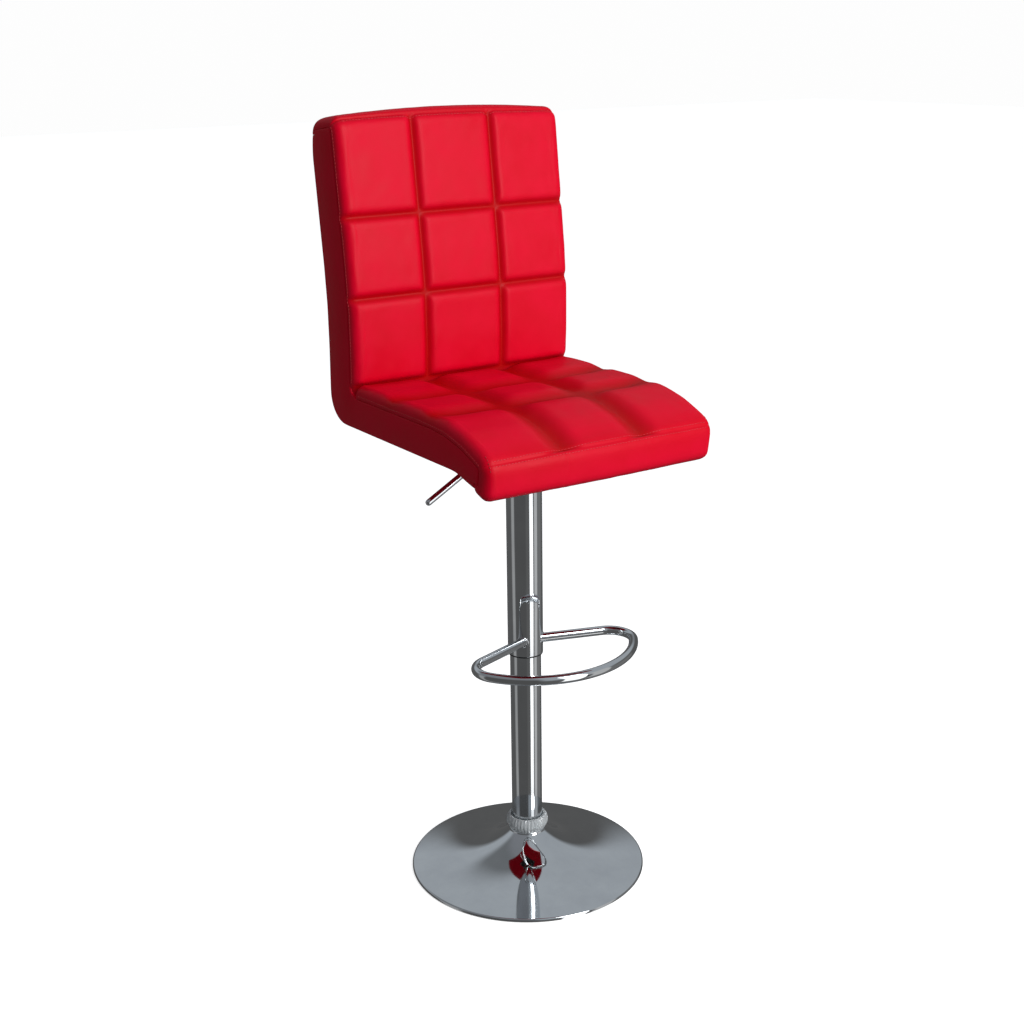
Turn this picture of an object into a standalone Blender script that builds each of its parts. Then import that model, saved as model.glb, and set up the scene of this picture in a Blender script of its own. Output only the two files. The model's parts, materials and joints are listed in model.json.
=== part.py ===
"""Height-adjustable swivel bar stool: trumpet base, gas lift column, footrest, lever, padded L-shaped seat.

Units are metres, +Z is up, the sitter faces -Y and the sitter's left is +X. The stool stands on z = 0 with
its seat at the top stop, and the origin is the centre of the whole stool's footprint.
"""

import math

import bmesh
import bpy
from mathutils import Matrix, Vector

for leftover in list(bpy.data.objects):
    bpy.data.objects.remove(leftover, do_unlink=True)

# Fits
GAP = 0.0003
SLIDE_GAP = 0.0004
FINE_CHAMFER = 0.0005
CHAMFER = 0.001
CUT_PAST = 0.010

# Base
BASE_RADIUS = 0.1925
BASE_WALL = 0.0025
BASE_RIM_HEIGHT = 0.0065
FLARE_CONE = 0.35
FLARE_POWER = 3.55
FLARE_STEPS = 10
FLARE_CROWDING = 1.6
LIP_BOTTOM = 0.0015
NECK_LEDGE = 0.005
NECK_HEIGHT = 0.066
EDGE_ROLL = 0.003
FLOOR_RING_HEIGHT = 0.003
FLOOR_RING_WIDTH = 0.009
COLLAR_HEIGHT = 0.023
COLLAR_BULGE = 0.0040
COLLAR_FLARE = 0.0010
COLLAR_AIR = 0.0016
COLLAR_STEPS = 6

# Fixed column and what holds it on the base
COLUMN_RADIUS = 0.025
COLUMN_WALL = 0.002
COLUMN_LAP = 0.070
STUB_RADIUS = 0.0145
STUB_LENGTH = 0.026
STUB_BORE = 0.010
FOOT_PLATE = 0.008
CLAMP_WASHER = 0.003
CLAMP_WASHER_AIR = 0.002
CLAMP_NUT_HEIGHT = 0.008
CLAMP_NUT_ACROSS_FLATS = 0.036
GUIDE_LENGTH = 0.060
GUIDE_FLANGE = 0.003

# Gas lift
TRAVEL = 0.210
CYLINDER_RADIUS = 0.014
CYLINDER_WALL = 0.0015
CYLINDER_TAPER = 0.0012
CYLINDER_HEAD = 0.016
CYLINDER_RECESS = 0.001
HEAD_PROUD = 0.001
ROD_RADIUS = 0.005
ROD_END_RADIUS = 0.004
ROD_GROOVE_RADIUS = 0.003
ROD_TIP = 0.003
ROD_RIVET = 0.001
CLIP_SHEET = 0.0012
CLIP_BELOW_FOOT = 0.002
CLIP_RIM = 0.003
CLIP_MOUTH = 0.005
ROD_GUIDE = 0.022
PISTON_HEIGHT = 0.014
PISTON_REST = 0.002
BEARING_RADIUS = 0.0125
BEARING_WASHER = 0.0016
BEARING_CAGE = 0.003
BUFFER_HEIGHT = 0.012
BUFFER_CHAMFER = 0.002
VALVE_RADIUS = 0.0035
VALVE_TIP_RADIUS = 0.0014
VALVE_DOME = 0.0015
VALVE_TRAVEL = 0.005

# Cover tube and footrest
COVER_WALL = 0.0015
COVER_LENGTH = 0.327
GLIDE_WALL = 0.0011
GLIDE_LENGTH = 0.030
GLIDE_LIP = 0.0018
COVER_CAP = 0.003
FOOTREST_ABOVE_RIM = 0.025
FOOTREST_REACH = 0.180
FOOTREST_FRONT_RADIUS = 0.1605
FOOTREST_CORNER_RADIUS = 0.038
FOOTREST_ARM_ANGLE = 18.0
FOOTREST_ARM_SET = 0.0135
FOOTREST_TUBE = 0.0075
FOOTREST_WALL = 0.0015
FOOTREST_SIDES = 12
FOOTREST_CORNER_STEPS = 8
FOOTREST_FRONT_STEPS = 9

# Seat plate and release lever
TRAY_DEPTH = 0.032
TRAY_SHEET = 0.0025
TRAY_WIDTH = 0.110
TRAY_LENGTH = 0.090
TRAY_CORNER = 0.010
FLANGE_WIDTH = 0.030
SOCKET_WALL = 0.0035
SOCKET_LENGTH = 0.036
LEVER_RADIUS = 0.005
LEVER_ABOVE_HEAD = 0.0132
LEVER_PIVOT_X = 0.045
LEVER_TONGUE = 0.012
LEVER_DROP = 29.0
LEVER_ARM = 0.130
LEVER_BEND_RADIUS = 0.014
LEVER_HOLE_AIR = 0.003
LEVER_PIN_RADIUS = 0.0025
PIN_HEAD = 0.0015
PIN_RIM = 0.0015
PIN_GROOVE = 0.0007
PIN_CLIP = 0.0008
PIN_CLIP_MOUTH = 0.003
EAR_SHEET = 0.002
EAR_LENGTH = 0.014
EAR_RIM = 0.004

# Seat fasteners
BOLT_RADIUS = 0.003
BOLT_HEAD_RADIUS = 0.00525
BOLT_HEAD_HEIGHT = 0.004
BOLT_HEAD_CROWN = 0.0012
BOLT_KEY = 0.004
BOLT_KEY_DEPTH = 0.0025
BOLT_WASHER_RADIUS = 0.0065
BOLT_WASHER = 0.0012
TNUT_BARREL_RADIUS = 0.0045
TNUT_FLANGE_RADIUS = 0.0095
TNUT_FLANGE = 0.0015

# Seat shell and upholstery
SEAT_UNDERSIDE = 0.738
SEAT_WIDTH = 0.403
PLY = 0.012
UNDER_PAD = 0.006
SEAT_FOAM = 0.0484
BACK_FOAM = 0.0690
BOXING = 0.003
SHELL_INSET = 0.003
SEAT_DEPTH = 0.3717
BACK_SETBACK = 0.1635
NOSE_PAD = 0.028
SHELL_CURL = 0.028
SHELL_CURL_RADIUS = 0.100
SHELL_CURL_ANGLE = 22.0
SHELL_BEND = 0.035
LOWER_BACK = 0.075
LOWER_BACK_LEAN = 2.0
LUMBAR_RADIUS = 0.80
LUMBAR_TURN = 9.0
BACK_HEIGHT = 0.398
TOP_ROUND = 0.022
WATERFALL = 0.1482
WATERFALL_RADIUS = 0.313
WATERFALL_DROP = 24.5
NOSE_ROUND = 0.022
NOSE_LEAN = 10.0
NOSE_FACE = 0.032
NOSE_TUCK = 0.006

SEGMENTS = 32
FINE_SEGMENTS = 48
SMALL_SEGMENTS = 16
TURN_STEP = 10
ROLL_STEP = 30
SMALL_ROLL = 0.010


def principled(name, colour, roughness, metallic=0.0, alpha=1.0):
    made = bpy.data.materials.new(name)
    made.use_nodes = True
    shader = made.node_tree.nodes["Principled BSDF"]
    shader.inputs["Base Color"].default_value = (*colour, 1.0)
    shader.inputs["Roughness"].default_value = roughness
    shader.inputs["Metallic"].default_value = metallic
    shader.inputs["Alpha"].default_value = alpha
    made.diffuse_color = (*colour, alpha)
    return made


CHROME = principled("chrome", (0.78, 0.79, 0.80), 0.08, 1.0)
STEEL = principled("steel", (0.56, 0.57, 0.58), 0.35, 1.0)
ZINC = principled("zinc", (0.66, 0.67, 0.68), 0.30, 1.0)
BLACK_STEEL = principled("black_steel", (0.03, 0.03, 0.03), 0.45)
RUBBER = principled("rubber", (0.02, 0.02, 0.02), 0.75)
NYLON = principled("black_nylon", (0.03, 0.03, 0.03), 0.5)
CLEAR = principled("clear_plastic", (0.90, 0.93, 0.95), 0.08, 0.0, 0.4)
WOOD = principled("plywood", (0.62, 0.45, 0.28), 0.6)
LEATHER = principled("red_leather", (0.68, 0.01, 0.03), 0.42)


# Outlines: lists of (across, up) points


def step(heading, length):
    angle = math.radians(heading)
    return Vector((math.cos(angle), math.sin(angle))) * length


def walk(start, heading, moves):
    """Points along straight runs ("line", length) and turns ("arc", radius, degrees to the left)."""
    points = [Vector(start)]
    for kind, size, *turn in moves:
        if kind == "line":
            points.append(points[-1] + step(heading, size))
            continue
        side = math.copysign(90, turn[0])
        centre = points[-1] + step(heading + side, size)
        count = max(2, math.ceil(abs(turn[0]) / (ROLL_STEP if size < SMALL_ROLL else TURN_STEP)))
        for i in range(1, count + 1):
            points.append(centre - step(heading + side + turn[0] * i / count, size))
        heading += turn[0]
    return points


def offset(points, distance):
    """The line moved to its left by a distance, with mitred corners."""
    moved = []
    for i, point in enumerate(points):
        before = (point - points[i - 1]).normalized() if i else None
        after = (points[i + 1] - point).normalized() if i + 1 < len(points) else before
        before = before or after
        middle = (before + after).normalized()
        stretch = 1 / max(0.3, middle.dot(before))
        moved.append(point + Vector((-middle.y, middle.x)) * distance * stretch)
    return moved


# Meshes and objects


def finish(name, mesh, material, parent, location=(0, 0, 0), rotation=(0, 0, 0), sharp=35):
    made = bpy.data.objects.new(name, mesh)
    bpy.context.collection.objects.link(made)
    mesh.materials.append(material)
    mesh.shade_smooth()
    mesh.set_sharp_from_angle(angle=math.radians(sharp))
    made.parent = parent
    made.location = location
    made.rotation_euler = rotation
    return made


def to_mesh(name, shape):
    bmesh.ops.recalc_face_normals(shape, faces=shape.faces)
    mesh = bpy.data.meshes.new(name)
    shape.to_mesh(mesh)
    shape.free()
    return mesh


def turned_mesh(name, section, segments):
    """A closed section of (radius, height) points turned about Z, closed where it meets the axis."""
    shape = bmesh.new()
    verts = [shape.verts.new((radius, 0, height)) for radius, height in section]
    on_axis = section[0][0] == 0 and section[-1][0] == 0
    pairs = list(zip(verts, verts[1:]))
    if not on_axis:
        pairs.append((verts[-1], verts[0]))
    edges = [shape.edges.new(pair) for pair in pairs]
    bmesh.ops.spin(
        shape, geom=verts + edges, angle=math.tau, steps=segments, axis=(0, 0, 1), cent=(0, 0, 0)
    )
    bmesh.ops.remove_doubles(shape, verts=shape.verts, dist=1e-6)
    return to_mesh(name, shape)


def turned(name, section, material, parent, height=0.0, segments=SEGMENTS):
    return finish(name, turned_mesh(name, section, segments), material, parent, (0, 0, height))


def ring_section(outer, inner, low, high, chamfer=0.0):
    """The section of a plain ring, with its two outer edges chamfered."""
    if chamfer == 0:
        return [(inner, low), (outer, low), (outer, high), (inner, high)]
    return [
        (inner, low),
        (outer - chamfer, low),
        (outer, low + chamfer),
        (outer, high - chamfer),
        (outer - chamfer, high),
        (inner, high),
    ]


def prism_mesh(name, outline, low, high):
    """An outline in the YZ plane, drawn out along X from low to high."""
    shape = bmesh.new()
    face = shape.faces.new([shape.verts.new((low, across, up)) for across, up in outline])
    drawn = bmesh.ops.extrude_face_region(shape, geom=[face])["geom"]
    moved = [item for item in drawn if isinstance(item, bmesh.types.BMVert)]
    bmesh.ops.translate(shape, verts=moved, vec=(high - low, 0, 0))
    bmesh.ops.triangulate(shape, faces=shape.faces)
    return to_mesh(name, shape)


def block_mesh(name, size, centre, corner=0.0, steps=3):
    """A box, with its four upright edges rounded."""
    shape = bmesh.new()
    bmesh.ops.create_cube(shape, size=1, matrix=Matrix.Translation(centre) @ Matrix.Diagonal((*size, 1)))
    if corner:
        rise = size[2] / 2
        upright = [edge for edge in shape.edges if abs(edge.verts[0].co.z - edge.verts[1].co.z) > rise]
        bmesh.ops.bevel(shape, geom=upright, offset=corner, segments=steps, affect="EDGES", profile=0.5)
    return to_mesh(name, shape)


def hexagon_mesh(name, across_flats, low, high):
    shape = bmesh.new()
    radius = across_flats / math.sqrt(3)
    place = Matrix.Translation((0, 0, (low + high) / 2))
    bmesh.ops.create_cone(
        shape, cap_ends=True, segments=6, radius1=radius, radius2=radius, depth=high - low, matrix=place
    )
    return to_mesh(name, shape)


def rod_mesh(name, route, radius, sides=12, wall=0.0, round_end=False):
    """A round bar, or with a wall a tube, along a list of 3-D points. Its far end can be a half ball."""
    route = [Vector(point) for point in route]
    scales = [1.0] * len(route)
    if round_end:
        onward = (route[-1] - route[-2]).normalized()
        last = route[-1]
        for angle in (30, 60, 80):
            route.append(last + onward * radius * math.sin(math.radians(angle)))
            scales.append(math.cos(math.radians(angle)))
    shape = bmesh.new()
    rows = []
    for i, point in enumerate(route):
        ahead = (route[min(i + 1, len(route) - 1)] - route[max(i - 1, 0)]).normalized()
        level = Vector((-ahead.y, ahead.x, 0)).normalized() if abs(ahead.z) < 0.9 else Vector((0, 1, 0))
        upward = ahead.cross(level)
        radii = (radius, radius - wall) if wall else (radius,)
        row = []
        for size in radii:
            angles = [math.tau * k / sides for k in range(sides)]
            reach = size * scales[i]
            spots = [point + (level * math.cos(a) + upward * math.sin(a)) * reach for a in angles]
            row.append([shape.verts.new(spot) for spot in spots])
        rows.append(row)
    for first, second in zip(rows, rows[1:]):
        for ring_a, ring_b in zip(first, second):
            for k in range(sides):
                n = (k + 1) % sides
                shape.faces.new((ring_a[k], ring_a[n], ring_b[n], ring_b[k]))
    for row in (rows[0], rows[-1]):
        if not wall:
            shape.faces.new(row[0])
            continue
        for k in range(sides):
            n = (k + 1) % sides
            shape.faces.new((row[0][k], row[0][n], row[1][n], row[1][k]))
    return to_mesh(name, shape)


def cutter(name, mesh, parent, location=(0, 0, 0), rotation=(0, 0, 0)):
    made = bpy.data.objects.new(name, mesh)
    bpy.context.collection.objects.link(made)
    made.parent = parent
    made.location = location
    made.rotation_euler = rotation
    made.hide_render = True
    made.display_type = "WIRE"
    return made


def combine(target, other, operation="DIFFERENCE"):
    modifier = target.modifiers.new(other.name, "BOOLEAN")
    modifier.operation = operation
    modifier.object = other


def drill_mesh(name, radius, low, high, segments=SMALL_SEGMENTS):
    return turned_mesh(name, [(0, low), (radius, low), (radius, high), (0, high)], segments)


def empty(name, parent, location):
    made = bpy.data.objects.new(name, None)
    bpy.context.collection.objects.link(made)
    made.parent = parent
    made.location = location
    return made


# The shell's middle line, front edge to top edge, as (y, z) from the column's axis

PLY_LEVEL = SEAT_UNDERSIDE + UNDER_PAD + GAP + PLY / 2
FRONT_CURL = [("line", SHELL_CURL), ("arc", SHELL_CURL_RADIUS, -SHELL_CURL_ANGLE)]
CURL_RUN = walk((0, 0), SHELL_CURL_ANGLE, FRONT_CURL)[-1]
BACK_REACH = PLY / 2 + GAP + BACK_FOAM
SEAT_REACH = PLY / 2 + GAP + SEAT_FOAM
SEAT_TOP = PLY_LEVEL + SEAT_REACH
NOSE_Y = BACK_SETBACK - SEAT_DEPTH
BEND_START = BACK_SETBACK + BACK_REACH - SHELL_BEND
SHELL_FRONT_Y = NOSE_Y + NOSE_PAD
FLAT_LENGTH = BEND_START - SHELL_FRONT_Y - CURL_RUN.x
BACK_CURVE = [("line", LOWER_BACK), ("arc", LUMBAR_RADIUS, -LUMBAR_TURN)]
LOWER_HEADING = 90 + LOWER_BACK_LEAN
UPPER_HEADING = LOWER_HEADING - LUMBAR_TURN
UPPER_BACK_TOP = SEAT_TOP + BACK_HEIGHT - TOP_ROUND

shell_start = (SHELL_FRONT_Y, PLY_LEVEL - CURL_RUN.y)
shell_bend = [("line", FLAT_LENGTH), ("arc", SHELL_BEND, LOWER_HEADING)]
shell_lower = walk(shell_start, SHELL_CURL_ANGLE, FRONT_CURL + shell_bend)
lumbar_end = walk(shell_lower[-1], LOWER_HEADING, BACK_CURVE)[-1]
upper_run = (UPPER_BACK_TOP - lumbar_end.y) / math.sin(math.radians(UPPER_HEADING))
shell_back = walk(shell_lower[-1], LOWER_HEADING, BACK_CURVE + [("line", upper_run)])
shell_line = shell_lower + shell_back[1:]

# Upholstery outlines

UNDER_REACH = PLY / 2 + GAP + UNDER_PAD
drop_sine = math.sin(math.radians(WATERFALL_DROP))
drop_run = WATERFALL - WATERFALL_RADIUS * drop_sine - NOSE_ROUND * (1 - drop_sine)
sitting_line = walk(
    (BACK_SETBACK - GAP, SEAT_TOP),
    180,
    [
        ("line", SEAT_DEPTH - GAP - WATERFALL),
        ("arc", WATERFALL_RADIUS, WATERFALL_DROP),
        ("line", drop_run / math.cos(math.radians(WATERFALL_DROP))),
        ("arc", NOSE_ROUND, 90 + NOSE_LEAN - WATERFALL_DROP),
        ("line", NOSE_FACE),
        ("arc", NOSE_TUCK, 90),
    ],
)
shell_heading = step(SHELL_CURL_ANGLE, 1)
front_end = shell_line[0] - shell_heading * GAP
front_side = Vector((-shell_heading.y, shell_heading.x))
nose_tuck = [front_end - front_side * UNDER_REACH, front_end + front_side * (PLY / 2 + GAP)]

top_heading = step(UPPER_HEADING, 1)
top_end = shell_line[-1] + top_heading * GAP
top_side = Vector((-top_heading.y, top_heading.x))
back_face = offset(shell_back, BACK_REACH)
back_top = walk(
    back_face[-1],
    UPPER_HEADING,
    [
        ("arc", TOP_ROUND, -90),
        ("line", BACK_REACH + UNDER_REACH - 2 * TOP_ROUND),
        ("arc", TOP_ROUND, -90),
    ],
)
back_line = [Vector((BACK_SETBACK, SEAT_TOP))] + [p for p in back_face if p.y > SEAT_TOP] + back_top[1:]
top_tuck = [top_end - top_side * UNDER_REACH, top_end + top_side * (PLY / 2 + GAP)]

ply_face = offset(shell_line, PLY / 2 + GAP)
ply_under_seat = [p for p in ply_face if p.x < BACK_SETBACK - GAP and p.y < PLY_LEVEL + PLY]
ply_behind = [p for p in ply_face if p.x > BACK_SETBACK]
ply_top = PLY_LEVEL + PLY / 2 + GAP
seat_outline = sitting_line + nose_tuck + ply_under_seat + [(BACK_SETBACK - GAP, ply_top)]
back_outline = [Vector((BACK_SETBACK, ply_top))] + back_line + top_tuck + ply_behind[::-1]
under_outline = offset(shell_line, -(PLY / 2 + GAP)) + offset(shell_line, -UNDER_REACH)[::-1]
ply_outline = offset(shell_line, PLY / 2) + offset(shell_line, -PLY / 2)[::-1]
boxing_outline = sitting_line + offset(shell_line, -UNDER_REACH) + back_line[::-1][:-1]

REAR_Y = max(p[0] for p in boxing_outline)
AXIS_Y = -(REAR_Y + min(p[0] for p in boxing_outline)) / 2


# Heights, from the floor up

column_bottom = NECK_HEIGHT + GAP
plate_top = column_bottom + FOOT_PLATE
lower_race = plate_top + GAP
cage_level = lower_race + BEARING_WASHER + GAP
upper_race = cage_level + BEARING_CAGE + GAP
shoulder = upper_race + BEARING_WASHER + GAP
cylinder_bottom = shoulder + BUFFER_HEIGHT + GAP + TRAVEL
tray_floor = SEAT_UNDERSIDE - GAP - TRAY_DEPTH
flange_level = SEAT_UNDERSIDE - GAP - TRAY_SHEET
head_top = tray_floor + TRAY_SHEET + HEAD_PROUD
lever_level = head_top + LEVER_ABOVE_HEAD
cover_top = tray_floor - GAP
cover_bottom = cover_top - COVER_LENGTH
column_top = cover_bottom + COLUMN_LAP
socket_low = tray_floor - SOCKET_LENGTH
column_bore = COLUMN_RADIUS - COLUMN_WALL
neck_radius = COLUMN_RADIUS + NECK_LEDGE
cover_bore = COLUMN_RADIUS + SLIDE_GAP + GLIDE_WALL + GAP
cover_radius = cover_bore + COVER_WALL
cylinder_bore = CYLINDER_RADIUS - CYLINDER_WALL

# Axes

stool = empty("stool", None, (0, 0, 0))
column_axis = empty("column_axis", stool, (0, AXIS_Y, 0))
swivel_axis = empty("swivel_axis", column_axis, (0, 0, 0))
lift_axis = empty("lift_axis", swivel_axis, (0, 0, 0))
lever_axis = empty("lever_axis", lift_axis, (-LEVER_PIVOT_X, 0, lever_level))

# Base


def base_section():
    """The trumpet's sheet, from the turned lip up the flare to the neck's inward flange."""
    flare = []
    for i in range(FLARE_STEPS + 1):
        share = (i / FLARE_STEPS) ** FLARE_CROWDING
        radius = neck_radius + (BASE_RADIUS - EDGE_ROLL - neck_radius) * share
        rise = FLARE_CONE * (1 - share) + (1 - FLARE_CONE) * (1 - share) ** FLARE_POWER
        flare.append(Vector((radius, BASE_RIM_HEIGHT + (NECK_HEIGHT - EDGE_ROLL - BASE_RIM_HEIGHT) * rise)))
    lip = walk((BASE_RADIUS, LIP_BOTTOM), 90, [("line", BASE_RIM_HEIGHT - EDGE_ROLL - LIP_BOTTOM)])
    roll = walk(lip[-1], 90, [("arc", EDGE_ROLL, 60)])
    neck = walk(flare[0], 90, [("arc", EDGE_ROLL, 90)])
    flange = Vector((STUB_RADIUS + GAP, NECK_HEIGHT))
    outer = lip[:1] + roll + flare[::-1][1:] + neck[1:] + [flange]
    return outer + offset(outer, BASE_WALL)[::-1]


turned("base_disc", base_section(), CHROME, column_axis, segments=FINE_SEGMENTS)
ring_outer = BASE_RADIUS - BASE_WALL - GAP
floor_ring = ring_section(ring_outer, ring_outer - FLOOR_RING_WIDTH, 0, FLOOR_RING_HEIGHT, CHAMFER)
turned("floor_ring", floor_ring, RUBBER, column_axis, segments=FINE_SEGMENTS)

washer_top = NECK_HEIGHT - BASE_WALL - GAP
washer_low = washer_top - CLAMP_WASHER
washer_radius = neck_radius - BASE_WALL - CLAMP_WASHER_AIR
clamp_washer = ring_section(washer_radius, STUB_RADIUS + GAP, washer_low, washer_top, FINE_CHAMFER)
turned("clamp_washer", clamp_washer, ZINC, column_axis)
nut_top = washer_low - GAP
nut_shape = hexagon_mesh("clamp_nut", CLAMP_NUT_ACROSS_FLATS, nut_top - CLAMP_NUT_HEIGHT, nut_top)
clamp_nut = finish("clamp_nut", nut_shape, ZINC, column_axis)
nut_bore = drill_mesh("nut_bore", STUB_RADIUS + GAP, 0, NECK_HEIGHT, SEGMENTS)
combine(clamp_nut, cutter("nut_bore", nut_bore, column_axis))

# Column

stub_end = column_bottom - STUB_LENGTH
foot_section = [
    (ROD_END_RADIUS + GAP, column_bottom),
    (STUB_BORE, column_bottom),
    (STUB_BORE, stub_end),
    (STUB_RADIUS, stub_end),
    (STUB_RADIUS, column_bottom),
    (column_bore - GAP, column_bottom),
    (column_bore - GAP, plate_top),
    (ROD_END_RADIUS + GAP, plate_top),
]
turned("column_foot", foot_section, STEEL, column_axis)
column_tube = ring_section(COLUMN_RADIUS, column_bore, column_bottom, column_top, FINE_CHAMFER)
turned("column_tube", column_tube, CHROME, column_axis)
guide_section = [
    (CYLINDER_RADIUS + SLIDE_GAP, column_top - GUIDE_LENGTH),
    (column_bore - GAP, column_top - GUIDE_LENGTH),
    (column_bore - GAP, column_top + GAP),
    (COLUMN_RADIUS, column_top + GAP),
    (COLUMN_RADIUS, column_top + GUIDE_FLANGE),
    (CYLINDER_RADIUS + SLIDE_GAP, column_top + GUIDE_FLANGE),
]
turned("guide_bush", guide_section, NYLON, column_axis)
collar_bore = COLUMN_RADIUS + COLLAR_AIR
collar_section = [(collar_bore, 0)]
for i in range(COLLAR_STEPS + 1):
    share = i / COLLAR_STEPS
    swell = COLLAR_BULGE * math.sin(math.pi * share) + COLLAR_FLARE * share
    collar_section.append((neck_radius + swell, COLLAR_HEIGHT * share))
collar_section.append((collar_bore, COLLAR_HEIGHT))
turned("neck_collar", collar_section, CLEAR, column_axis, column_bottom)

# Thrust bearing under the gas lift's rod

race_bore = ROD_END_RADIUS + GAP
lower_washer = ring_section(BEARING_RADIUS, race_bore, lower_race, lower_race + BEARING_WASHER)
turned("thrust_washer_lower", lower_washer, STEEL, column_axis, segments=SMALL_SEGMENTS)
cage_radius = BEARING_RADIUS - CHAMFER
cage = ring_section(cage_radius, race_bore, cage_level, cage_level + BEARING_CAGE, CHAMFER)
turned("thrust_ball_cage", cage, STEEL, column_axis, segments=SMALL_SEGMENTS)
upper_washer = ring_section(BEARING_RADIUS, race_bore, upper_race, upper_race + BEARING_WASHER)
turned("thrust_washer_upper", upper_washer, STEEL, swivel_axis, segments=SMALL_SEGMENTS)

# Rod, which turns with the seat and stays down

buffer_top = shoulder + BUFFER_HEIGHT
buffer_section = ring_section(cage_radius, ROD_RADIUS + GAP, shoulder, buffer_top, BUFFER_CHAMFER)
turned("travel_buffer", buffer_section, RUBBER, swivel_axis, segments=SMALL_SEGMENTS)
guide_bottom = cylinder_bottom + CYLINDER_RECESS
guide_top = guide_bottom + ROD_GUIDE
piston_bottom = guide_top + PISTON_REST
piston_top = piston_bottom + PISTON_HEIGHT
clip_top = column_bottom - CLIP_BELOW_FOOT
clip_low = clip_top - CLIP_SHEET
rod_section = [
    (0, clip_low - ROD_TIP - CHAMFER),
    (ROD_END_RADIUS, clip_low - ROD_TIP),
    (ROD_END_RADIUS, clip_low - GAP),
    (ROD_GROOVE_RADIUS, clip_low - GAP),
    (ROD_GROOVE_RADIUS, clip_top + GAP),
    (ROD_END_RADIUS, clip_top + GAP),
    (ROD_END_RADIUS, shoulder),
    (ROD_RADIUS, shoulder),
    (ROD_RADIUS, piston_bottom - GAP),
    (ROD_GROOVE_RADIUS, piston_bottom - GAP),
    (ROD_GROOVE_RADIUS, piston_top + ROD_RIVET),
    (0, piston_top + ROD_RIVET),
]
turned("piston_rod", rod_section, CHROME, swivel_axis, segments=SMALL_SEGMENTS)
groove_bore = ROD_GROOVE_RADIUS + GAP
piston_section = ring_section(cylinder_bore - GAP, groove_bore, piston_bottom, piston_top, CHAMFER)
turned("piston", piston_section, NYLON, swivel_axis, segments=SMALL_SEGMENTS)
clip_radius = ROD_END_RADIUS + CLIP_RIM
clip_section = ring_section(clip_radius, groove_bore, clip_low, clip_top)
rod_clip = turned("rod_clip", clip_section, STEEL, swivel_axis, segments=SMALL_SEGMENTS)
clip_mouth = block_mesh("clip_mouth", (2 * clip_radius, CLIP_MOUTH, CUT_PAST), (clip_radius, 0, clip_top))
combine(rod_clip, cutter("clip_mouth", clip_mouth, swivel_axis))

# Gas cylinder, which rises with the seat



def taper_radius(height):
    return CYLINDER_RADIUS - CYLINDER_TAPER * (height - socket_low) / (head_top - socket_low)


cylinder_section = [
    (VALVE_RADIUS + GAP, head_top - CYLINDER_HEAD),
    (cylinder_bore, head_top - CYLINDER_HEAD),
    (cylinder_bore, cylinder_bottom),
    (CYLINDER_RADIUS, cylinder_bottom),
    (CYLINDER_RADIUS, socket_low),
    (taper_radius(head_top), head_top),
    (VALVE_RADIUS + GAP, head_top),
]
turned("gas_cylinder", cylinder_section, BLACK_STEEL, lift_axis)
rod_guide = ring_section(cylinder_bore - GAP, ROD_RADIUS + SLIDE_GAP, guide_bottom, guide_top)
turned("rod_guide", rod_guide, NYLON, lift_axis, segments=SMALL_SEGMENTS)
valve_top = lever_level - LEVER_RADIUS - SLIDE_GAP
valve_section = [
    (0, head_top - CYLINDER_HEAD - VALVE_TRAVEL),
    (VALVE_RADIUS, head_top - CYLINDER_HEAD - VALVE_TRAVEL),
    (VALVE_RADIUS, valve_top - VALVE_DOME),
    (VALVE_TIP_RADIUS, valve_top),
    (0, valve_top),
]
turned("valve_button", valve_section, STEEL, lift_axis, segments=SMALL_SEGMENTS)

# Seat plate: a pressed tray with a flange, and the socket for the cylinder's taper

flange_size = (TRAY_WIDTH + 2 * FLANGE_WIDTH, TRAY_LENGTH + 2 * FLANGE_WIDTH, TRAY_SHEET)
flange_middle = (0, 0, flange_level + TRAY_SHEET / 2)
seat_plate = finish(
    "seat_plate", block_mesh("seat_plate", flange_size, flange_middle, TRAY_CORNER), BLACK_STEEL, lift_axis
)
pan_middle = (0, 0, tray_floor + TRAY_DEPTH / 2 - TRAY_SHEET / 4)
pan_size = (TRAY_WIDTH, TRAY_LENGTH, TRAY_DEPTH - TRAY_SHEET / 2)
pan = block_mesh("pan", pan_size, pan_middle, TRAY_CORNER)
combine(seat_plate, cutter("pan", pan, lift_axis), "UNION")
hollow_size = (TRAY_WIDTH - 2 * TRAY_SHEET, TRAY_LENGTH - 2 * TRAY_SHEET, TRAY_DEPTH)
hollow_middle = (0, 0, tray_floor + TRAY_SHEET + TRAY_DEPTH / 2)
hollow = block_mesh("hollow", hollow_size, hollow_middle, TRAY_CORNER - TRAY_SHEET)
combine(seat_plate, cutter("hollow", hollow, lift_axis))
socket_radius = CYLINDER_RADIUS + GAP + SOCKET_WALL
socket_hole = drill_mesh(
    "socket_hole", socket_radius + GAP, tray_floor - CUT_PAST, tray_floor + CUT_PAST, SEGMENTS
)
combine(seat_plate, cutter("socket_hole", socket_hole, lift_axis))
lever_hole = drill_mesh("lever_hole", LEVER_RADIUS + LEVER_HOLE_AIR, -CUT_PAST, CUT_PAST)
lever_hole_place = (-TRAY_WIDTH / 2, 0, lever_level)
across_x = (0, math.pi / 2, 0)
combine(seat_plate, cutter("lever_hole", lever_hole, lift_axis, lever_hole_place, across_x))
socket_section = [
    (CYLINDER_RADIUS + GAP, socket_low),
    (socket_radius, socket_low),
    (socket_radius, head_top),
    (taper_radius(head_top) + GAP, head_top),
]
turned("cone_socket", socket_section, STEEL, lift_axis)

# Release lever: it turns on a pin in a welded bracket, and its tongue lies over the valve

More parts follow.
